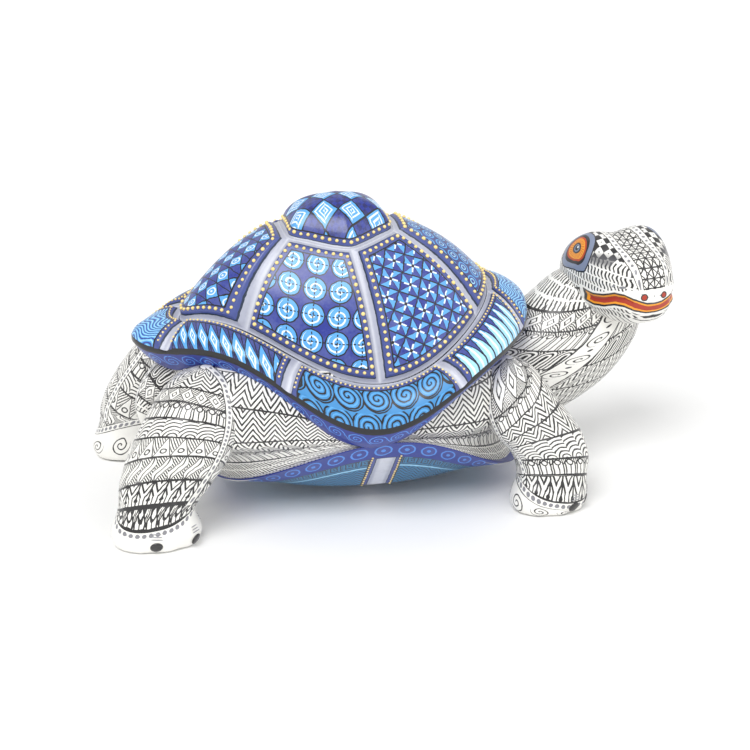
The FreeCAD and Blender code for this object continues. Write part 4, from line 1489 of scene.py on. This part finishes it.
def head_surface(place, angle):
    """Local points of the head: ahead, aside and height; angle 0 is its right cheek, then its crown."""
    rise, tall, wide = np.moveaxis(smooth_table(HEAD, place), -1, 0)
    c, s = squared(angle, 2.5)
    side, height = wide * c, rise + tall * s
    brow = bump_at(place + 2, np.abs(side) - 17, 14, 6) * np.clip(s * 1.6, 0, 1)
    socket = bump_at(place - EYE[0], height - EYE[1], 8.5, 7.5) * np.clip(np.abs(side) - 10, 0, 4) / 4
    mouth = over_mouth(place, height)
    carved = np.clip((place - 3) / 5, 0, 1)
    groove = np.exp(-(mouth / 1.5) ** 2) * carved
    lips = np.exp(-((np.abs(mouth) - 3.4) / 1.5) ** 2) * carved
    crest = np.exp(-(side / 10) ** 2) * np.clip(s, 0, 1) * np.clip((24 - place) / 14, 0, 1)
    swell = 2.0 * brow - 1.2 * socket - 0.9 * groove + 0.45 * lips - 3.2 * crest
    swell = swell * np.clip((31 - place) / 4, 0, 1)
    norm = np.hypot(c * tall, s * wide) + 1e-6
    side = side + swell * c * tall / norm
    height = height + swell * s * wide / norm
    return np.stack([place + 0 * side, side, height], -1)


def head_world(local):
    """Points of the head in the body's frame."""
    return HEAD_MIDDLE + local @ np.array([AHEAD, ASIDE, (0.0, 0.0, 1.0)])


def head_paint(paints):
    """Checked brows, a banded snout, ringed eyes and a wavy mouth."""
    paint = Paint("head_paint")
    ahead, reach, height = paint.attribute("skin")
    side, mouth, _ = paint.attribute("mouth")
    wobble = paint.noise(320.0, 1.0) - 0.5
    f, q, z = ahead + wobble * 0.7, reach + wobble * 0.7, height + wobble * 0.7
    ink, grey, red, amber, ring, iris_red = 1, 2, 3, 4, 5, 6
    nape_at, check_pitch, star_pitch, strip_at = -21.0, 3.4, 4.2, 8.0
    stroke = ((f + z * 0.35 + (z * 1.7).sine() * 0.25) / 1.75).fract().under(0.42)
    code = stroke.both((z / 4.2 + f * 0.03).fract().over(0.16)).blend(0, ink)
    code = (z * 0.9 + 5.2 - (f * 0.33).sine() * 0.9).near(0, 0.55).blend(code, ink)
    chin = (z + 13.5).under(0)
    leaf = ((f + (z * 0.5).sine() * 1.2) / 2.6).fract().under(0.2).both(chin)
    code = leaf.blend(chin.blend(code, 0), ink)
    zone = z.over(11.0).both(f.over(nape_at))
    black = (((f / check_pitch).floor() + (q / check_pitch + 0.45).floor()) / 2).fract().under(0.25)
    dot = radius(f.by("WRAP", 0, check_pitch) - check_pitch / 2,
                 (q + 1.53).by("WRAP", 0, check_pitch) - check_pitch / 2).under(0.3)
    code = zone.blend(code, black.either(dot))
    nape = f.under(nape_at).both(((f * 0.4 + q) / 2.4).fract().under(0.3))
    code = nape.either(f.on(nape_at, 0.6)).blend(code, ink)
    front = f.over(nape_at).both(z.over(-5.2))
    inner = q.under(6.4).both(front)
    code = inner.blend(code, 0)
    down = f.over(24.0).blend(f, z * -1 + 34.8)
    star = q.under(0.35).either(q.on(3.2, 0.3)).either((down / star_pitch).fract().under(0.14))
    for slant in (down + q, down - q):
        star = star.either((slant / star_pitch).fract().under(0.17))
    code = star.both(inner).blend(code, ink)
    for half, tone in ((2.1, ink), (1.65, 0)):
        code = q.on(strip_at, half).both(front).blend(code, tone)
    code = radius(q - strip_at, f.wrapped(2.9)).under(0.72).both(front).blend(code, grey)
    nose = f.over(26.4).both(z.over(-9.0)).both(z.under(0.4))
    code = nose.blend(code, 0)
    code = radius(mouth - 5.9, (f + q * 0.5).wrapped(2.6)).under(0.62).both(f.over(20)).blend(code, grey)
    corner = (f - 5.5) * -0.55 + 2.6
    lip = (mouth.size() + wobble * 0.4).either(corner)
    nostril = radius(radius(side.size() - 5.0, z + 3.0), f.by("MINIMUM", 26.5) - 26.5)
    eye_f, eye_q = f - EYE[0], q - EYE_REACH
    a, b = eye_f / 10.3, eye_q / 9.6
    oval = (a.size().by("POWER", 2.5) + b.size().by("POWER", 2.5)).by("POWER", 0.4)
    iris = radius(eye_f / 1.2, eye_q)
    layers = ((lip, 4.2, 0), (lip, 3.1, ink), (lip, 2.2, amber), (lip, 1.35, red),
              (nostril, 1.7, ink), (nostril, 1.15, red),
              (oval, 1.06, ink), (oval, 1.0, ring), (oval, 0.76, ink),
              (iris, 5.9, iris_red), (iris, 5.0, amber))
    for shape, limit, tone in layers:
        code = shape.under(limit).blend(code, tone)
    spokes = eye_q.by("ARCTAN2", eye_f) * (26 / TURN)
    code = spokes.fract().under(0.24).both(iris.near(3.6, 1.0)).blend(code, iris_red)
    code = iris.under(2.6).blend(code, ink)
    code = iris.near(1.5, 0.3).blend(code, ring)
    # Painted highlight: a small white glint a little off the middle of the pupil.
    code = radius(eye_f - 0.6, eye_q + 0.4).under(0.55).blend(code, 0)
    extra = [tuple(paints.lip), tuple(paints.amber), tuple(paints.eye_ring), (0.50, 0.06, 0.01)]
    # Painted shade: a dark band at eye height, ahead of the eye and along the lower edge of the checked brow,
    # where the brow's shade falls.
    painted_shade = (((z - 10.4).size() - 3.4) * -0.3).kept(0.0, 0.8)
    painted_shade = painted_shade.both(q.over(10.3)).both(oval.over(1.06)).both(f.under(17)).both(f.over(EYE[0]))
    return body_finish(paint, code, paints, extra, painted_shade)


def make_head(material):
    """The head, with brows, eye sockets, a carved mouth and a flat crown."""
    columns = 240
    angle = np.linspace(0, TURN, columns, endpoint=False)
    snout = 24.0
    tip = HEAD[-1][0] - snout
    place = np.concatenate([np.linspace(HEAD[0][0], snout, 90),
                            snout + tip * (1 - (1 - np.linspace(0, 1, 34)[1:]) ** 1.8)])
    local = head_surface(*np.broadcast_arrays(place[:, None], angle))
    wide = np.concatenate([local, local[:, :1]], 1)
    step = np.linalg.norm(np.diff(wide[..., 1:], axis=1), axis=-1)
    run = np.concatenate([np.zeros((len(place), 1)), np.cumsum(step, axis=1)], 1)[:, :-1]
    crown = run[:, columns // 4:columns // 4 + 1]
    total = step.sum(axis=1, keepdims=True)
    off = np.abs(run - crown)
    off = np.minimum(off, total - off)
    zeros = np.zeros((len(place) - 1, columns + 1, 3))
    flat, faces, _, _ = capped_rings(local, zeros, zeros, zeros[:, :-1])
    middle = np.array([[place[0], 20.0, -5.0], [place[-1], 3.0, -4.0]])
    lip = over_mouth(local[..., 0], local[..., 2])
    skin = np.stack([local[..., 0], off, local[..., 2]], -1).reshape(-1, 3)
    mouth = np.stack([local[..., 1], lip, lip * 0], -1).reshape(-1, 3)
    skin = np.vstack([skin, middle])
    mouth = np.vstack([mouth, [[0, 30, 0], [0, 5.2, 0]]])
    return new_piece("head_carving", head_world(flat), faces, material, ["neck_and_head"],
                     point_data={"skin": skin, "mouth": mouth})


# ---------------------------------------------------------------- claws


def blob(centre, across, up, out, rows=9, columns=18):
    """A small closed ellipsoid from its middle and its three half axes."""
    polar = np.linspace(0, math.pi, rows + 2)[1:-1]
    angle = np.linspace(0, TURN, columns, endpoint=False)
    a = np.sin(polar)[:, None] * np.cos(angle)
    b = np.cos(polar)[:, None] + 0 * angle
    c = np.sin(polar)[:, None] * np.sin(angle)
    points = centre + a[..., None] * across + b[..., None] * up + c[..., None] * out
    zeros = np.zeros((rows - 1, columns + 1, 3))
    flat, faces, _, _ = capped_rings(points, zeros, zeros, zeros[:, :-1])
    return flat, faces


def joined_blobs(name, blobs, material):
    """One piece of several closed blobs."""
    points, faces, first = [], [], 0
    for flat, part in blobs:
        points.append(flat)
        faces.extend(tuple(index + first for index in face) for face in part)
        first += len(flat)
    return new_piece(name, np.vstack(points), faces, material, None)


def make_claws(ink, grey):
    """Rounded black claws and three grey strokes above each."""
    claws, strokes = [], []
    spots = ((REAR_LEG, REAR_HIP, (1.62, 0.62, -0.35)), (FRONT_LEG, FRONT_HIP, (1.05, 0.25, -0.55)))
    for stations, hip, angles in spots:
        for side in (-1, 1):
            surface = leg_surface(stations, hip, side)
            for angle in angles:
                def at(height, turn=angle):
                    return surface(np.array([height]), np.array([turn]))[0]
                claw_height = 7.8
                point = at(claw_height)
                across = at(claw_height, angle + 0.02) - point
                across /= np.linalg.norm(across)
                up = at(claw_height + 1.2) - at(claw_height - 1.2)
                up /= np.linalg.norm(up)
                out = np.cross(across, up)
                claws.append(blob(point, across * 2.8, up * 2.3, out * 0.8))
                for number in range(3):
                    middle = at(11.4 + 1.2 * number)
                    lean = across + up * 0.08
                    strokes.append(blob(middle, lean * (2.9 - 0.3 * number), up * 0.27, out * 0.25, 5, 8))
    joined_blobs("claws", claws, ink)
    joined_blobs("claw_strokes", strokes, grey)


def plain_paint(name, colour_value, roughness):
    """One brushed paint with a little variation."""
    paint = Paint(name)
    clouds = paint.noise(400.0, 2.0)
    lighter = tuple(min(1.0, part * 1.7 + 0.01) for part in colour_value)
    tone = paint.mixed(clouds, tuple(colour_value), lighter)
    return paint.finish(tone, clouds, clouds * 0.15 + roughness, bump_mm=0.05)


# ---------------------------------------------------------------- operators


def paints():
    """The colours that the panel shows."""
    return bpy.context.scene.turtle_paints


def shared(name, make):
    """A material by name, made the first time that it is asked for."""
    return bpy.data.materials.get(name) or make()


class TURTLE_OT_carapace(bpy.types.Operator):
    """Build the scutes, the rim and the gold dots of the upper shell"""
    bl_idname = "turtle.carapace"
    bl_label = "Carapace"

    def execute(self, context):
        sizes = context.scene.turtle_shell
        paint = shared("shell_paint", lambda: shell_paint(paints()))
        gold = shared("gold_dot_paint", lambda: gold_paint(paints()))
        make_costals(sizes, paint)
        make_crown(sizes, paint)
        make_borders(sizes, paint)
        make_gold_dots(sizes, gold)
        return {"FINISHED"}


class TURTLE_OT_plastron(bpy.types.Operator):
    """Build the belly plate and its gold dots"""
    bl_idname = "turtle.plastron"
    bl_label = "Plastron"

    def execute(self, context):
        sizes = context.scene.turtle_shell
        make_plastron(shared("shell_paint", lambda: shell_paint(paints())))
        dots_along("plastron_gold_dots", plastron_dot_lines(), sizes.small_dot_pitch, sizes.small_dot_radius,
                   shared("gold_dot_paint", lambda: gold_paint(paints())), False)
        return {"FINISHED"}


class TURTLE_OT_body(bpy.types.Operator):
    """Build the body between the shells, with the tail and the neck"""
    bl_idname = "turtle.body"
    bl_label = "Body, neck and tail"

    def execute(self, context):
        paint = shared("body_paint", lambda: body_paint(paints()))
        make_torso(paint)
        make_tail(paint)
        make_neck(paint)
        return {"FINISHED"}


class TURTLE_OT_legs(bpy.types.Operator):
    """Build the four legs and their claws"""
    bl_idname = "turtle.legs"
    bl_label = "Legs and claws"

    def execute(self, context):
        make_legs(shared("body_paint", lambda: body_paint(paints())))
        make_claws(plain_paint("claw_black", paints().ink, 0.22),
                   plain_paint("stroke_grey", paints().grey, 0.4))
        return {"FINISHED"}


class TURTLE_OT_head(bpy.types.Operator):
    """Build the head"""
    bl_idname = "turtle.head"
    bl_label = "Head"

    def execute(self, context):
        make_head(shared("head_paint", lambda: head_paint(paints())))
        return {"FINISHED"}


class TURTLE_OT_dowels(bpy.types.Operator):
    """Give the hidden dowels their bare wood"""
    bl_idname = "turtle.dowels"
    bl_label = "Dowels"

    def execute(self, context):
        wood = shared("dowel_wood", wood_paint)
        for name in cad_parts:
            if "dowel" in name:
                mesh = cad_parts[name].data
                mesh.materials.clear()
                mesh.materials.append(wood)
        return {"FINISHED"}


class TURTLE_OT_stage(bpy.types.Operator):
    """Set the floor, the lights and the camera"""
    bl_idname = "turtle.stage"
    bl_label = "Stage"

    def execute(self, context):
        sizes = context.scene.turtle_stage
        floor = bpy.data.meshes.new("floor")
        half = 6.0
        floor.from_pydata([(-half, -half, 0), (half, -half, 0), (half, half, 0), (-half, half, 0)],
                          [], [(0, 1, 2, 3)])
        plane = added("floor", floor)
        paper = Paint("floor_paper")
        grain = paper.noise(40.0, 2.0)
        tone = paper.mixed(grain, (0.93, 0.93, 0.92), (0.95, 0.95, 0.945))
        floor.materials.append(paper.finish(tone, None, 0.6, coat=0.0))
        world = bpy.data.worlds.new("surround")
        world.use_nodes = True
        ground = world.node_tree.nodes["Background"]
        ground.inputs["Color"].default_value = (1, 1, 1, 1)
        ground.inputs["Strength"].default_value = sizes.sky_strength
        context.scene.world = world
        context.scene.view_settings.view_transform = "Standard"
        lights = (("key", (-0.5, -0.7, 1.15), 34, sizes.key_power),
                  ("fill", (0.9, -0.6, 0.75), 60, sizes.key_power * 0.35))
        for name, place, spread, strength in lights:
            lamp = bpy.data.lights.new(name, "SUN")
            lamp.angle, lamp.energy = math.radians(spread), strength
            light = added(name, lamp)
            light.location = place
            light.rotation_euler = (-Vector(place)).to_track_quat("-Z", "Y").to_euler()
        turn, rise = math.radians(sizes.azimuth), math.radians(sizes.elevation)
        back = Vector((math.sin(turn) * math.cos(rise), -math.cos(turn) * math.cos(rise), math.sin(rise)))
        lens = bpy.data.cameras.new("view")
        lens.lens, lens.sensor_width = sizes.lens, 36.0
        camera = added("view", lens)
        camera.location = Vector(sizes.target) + back * sizes.distance
        camera.rotation_euler = (-back).to_track_quat("-Z", "Y").to_euler()
        context.scene.camera = camera
        return {"FINISHED"}


class TURTLE_PT_panel(bpy.types.Panel):
    """The turtle's pieces and sizes"""
    bl_idname = "TURTLE_PT_panel"
    bl_label = "Painted Turtle"
    bl_space_type = "VIEW_3D"
    bl_region_type = "UI"
    bl_category = "Turtle"

    def draw(self, context):
        column = self.layout.column()
        for operator in OPERATORS:
            column.operator(operator.bl_idname)
        for group in (context.scene.turtle_shell, context.scene.turtle_paints, context.scene.turtle_stage):
            for name in group.bl_rna.properties.keys():
                if name not in ("rna_type", "name"):
                    column.prop(group, name)


OPERATORS = (TURTLE_OT_stage, TURTLE_OT_carapace, TURTLE_OT_plastron, TURTLE_OT_body, TURTLE_OT_legs,
             TURTLE_OT_head, TURTLE_OT_dowels)
GROUPS = (("turtle_shell", ShellSizes), ("turtle_paints", PaintColours), ("turtle_stage", StageSizes))


def register():
    """Add the sizes, the operators and the panel to Blender."""
    for name, group in GROUPS:
        bpy.utils.register_class(group)
        setattr(bpy.types.Scene, name, bpy.props.PointerProperty(type=group))
    for item in (*OPERATORS, TURTLE_PT_panel):
        bpy.utils.register_class(item)


def unregister():
    """Take them out again."""
    for item in (TURTLE_PT_panel, *OPERATORS[::-1]):
        bpy.utils.unregister_class(item)
    for name, group in GROUPS[::-1]:
        delattr(bpy.types.Scene, name)
        bpy.utils.unregister_class(group)


def main():
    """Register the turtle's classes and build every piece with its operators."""
    register()
    for operator in OPERATORS:
        group, name = operator.bl_idname.split(".")
        getattr(getattr(bpy.ops, group), name)()


if __name__ == "__main__":
    main()
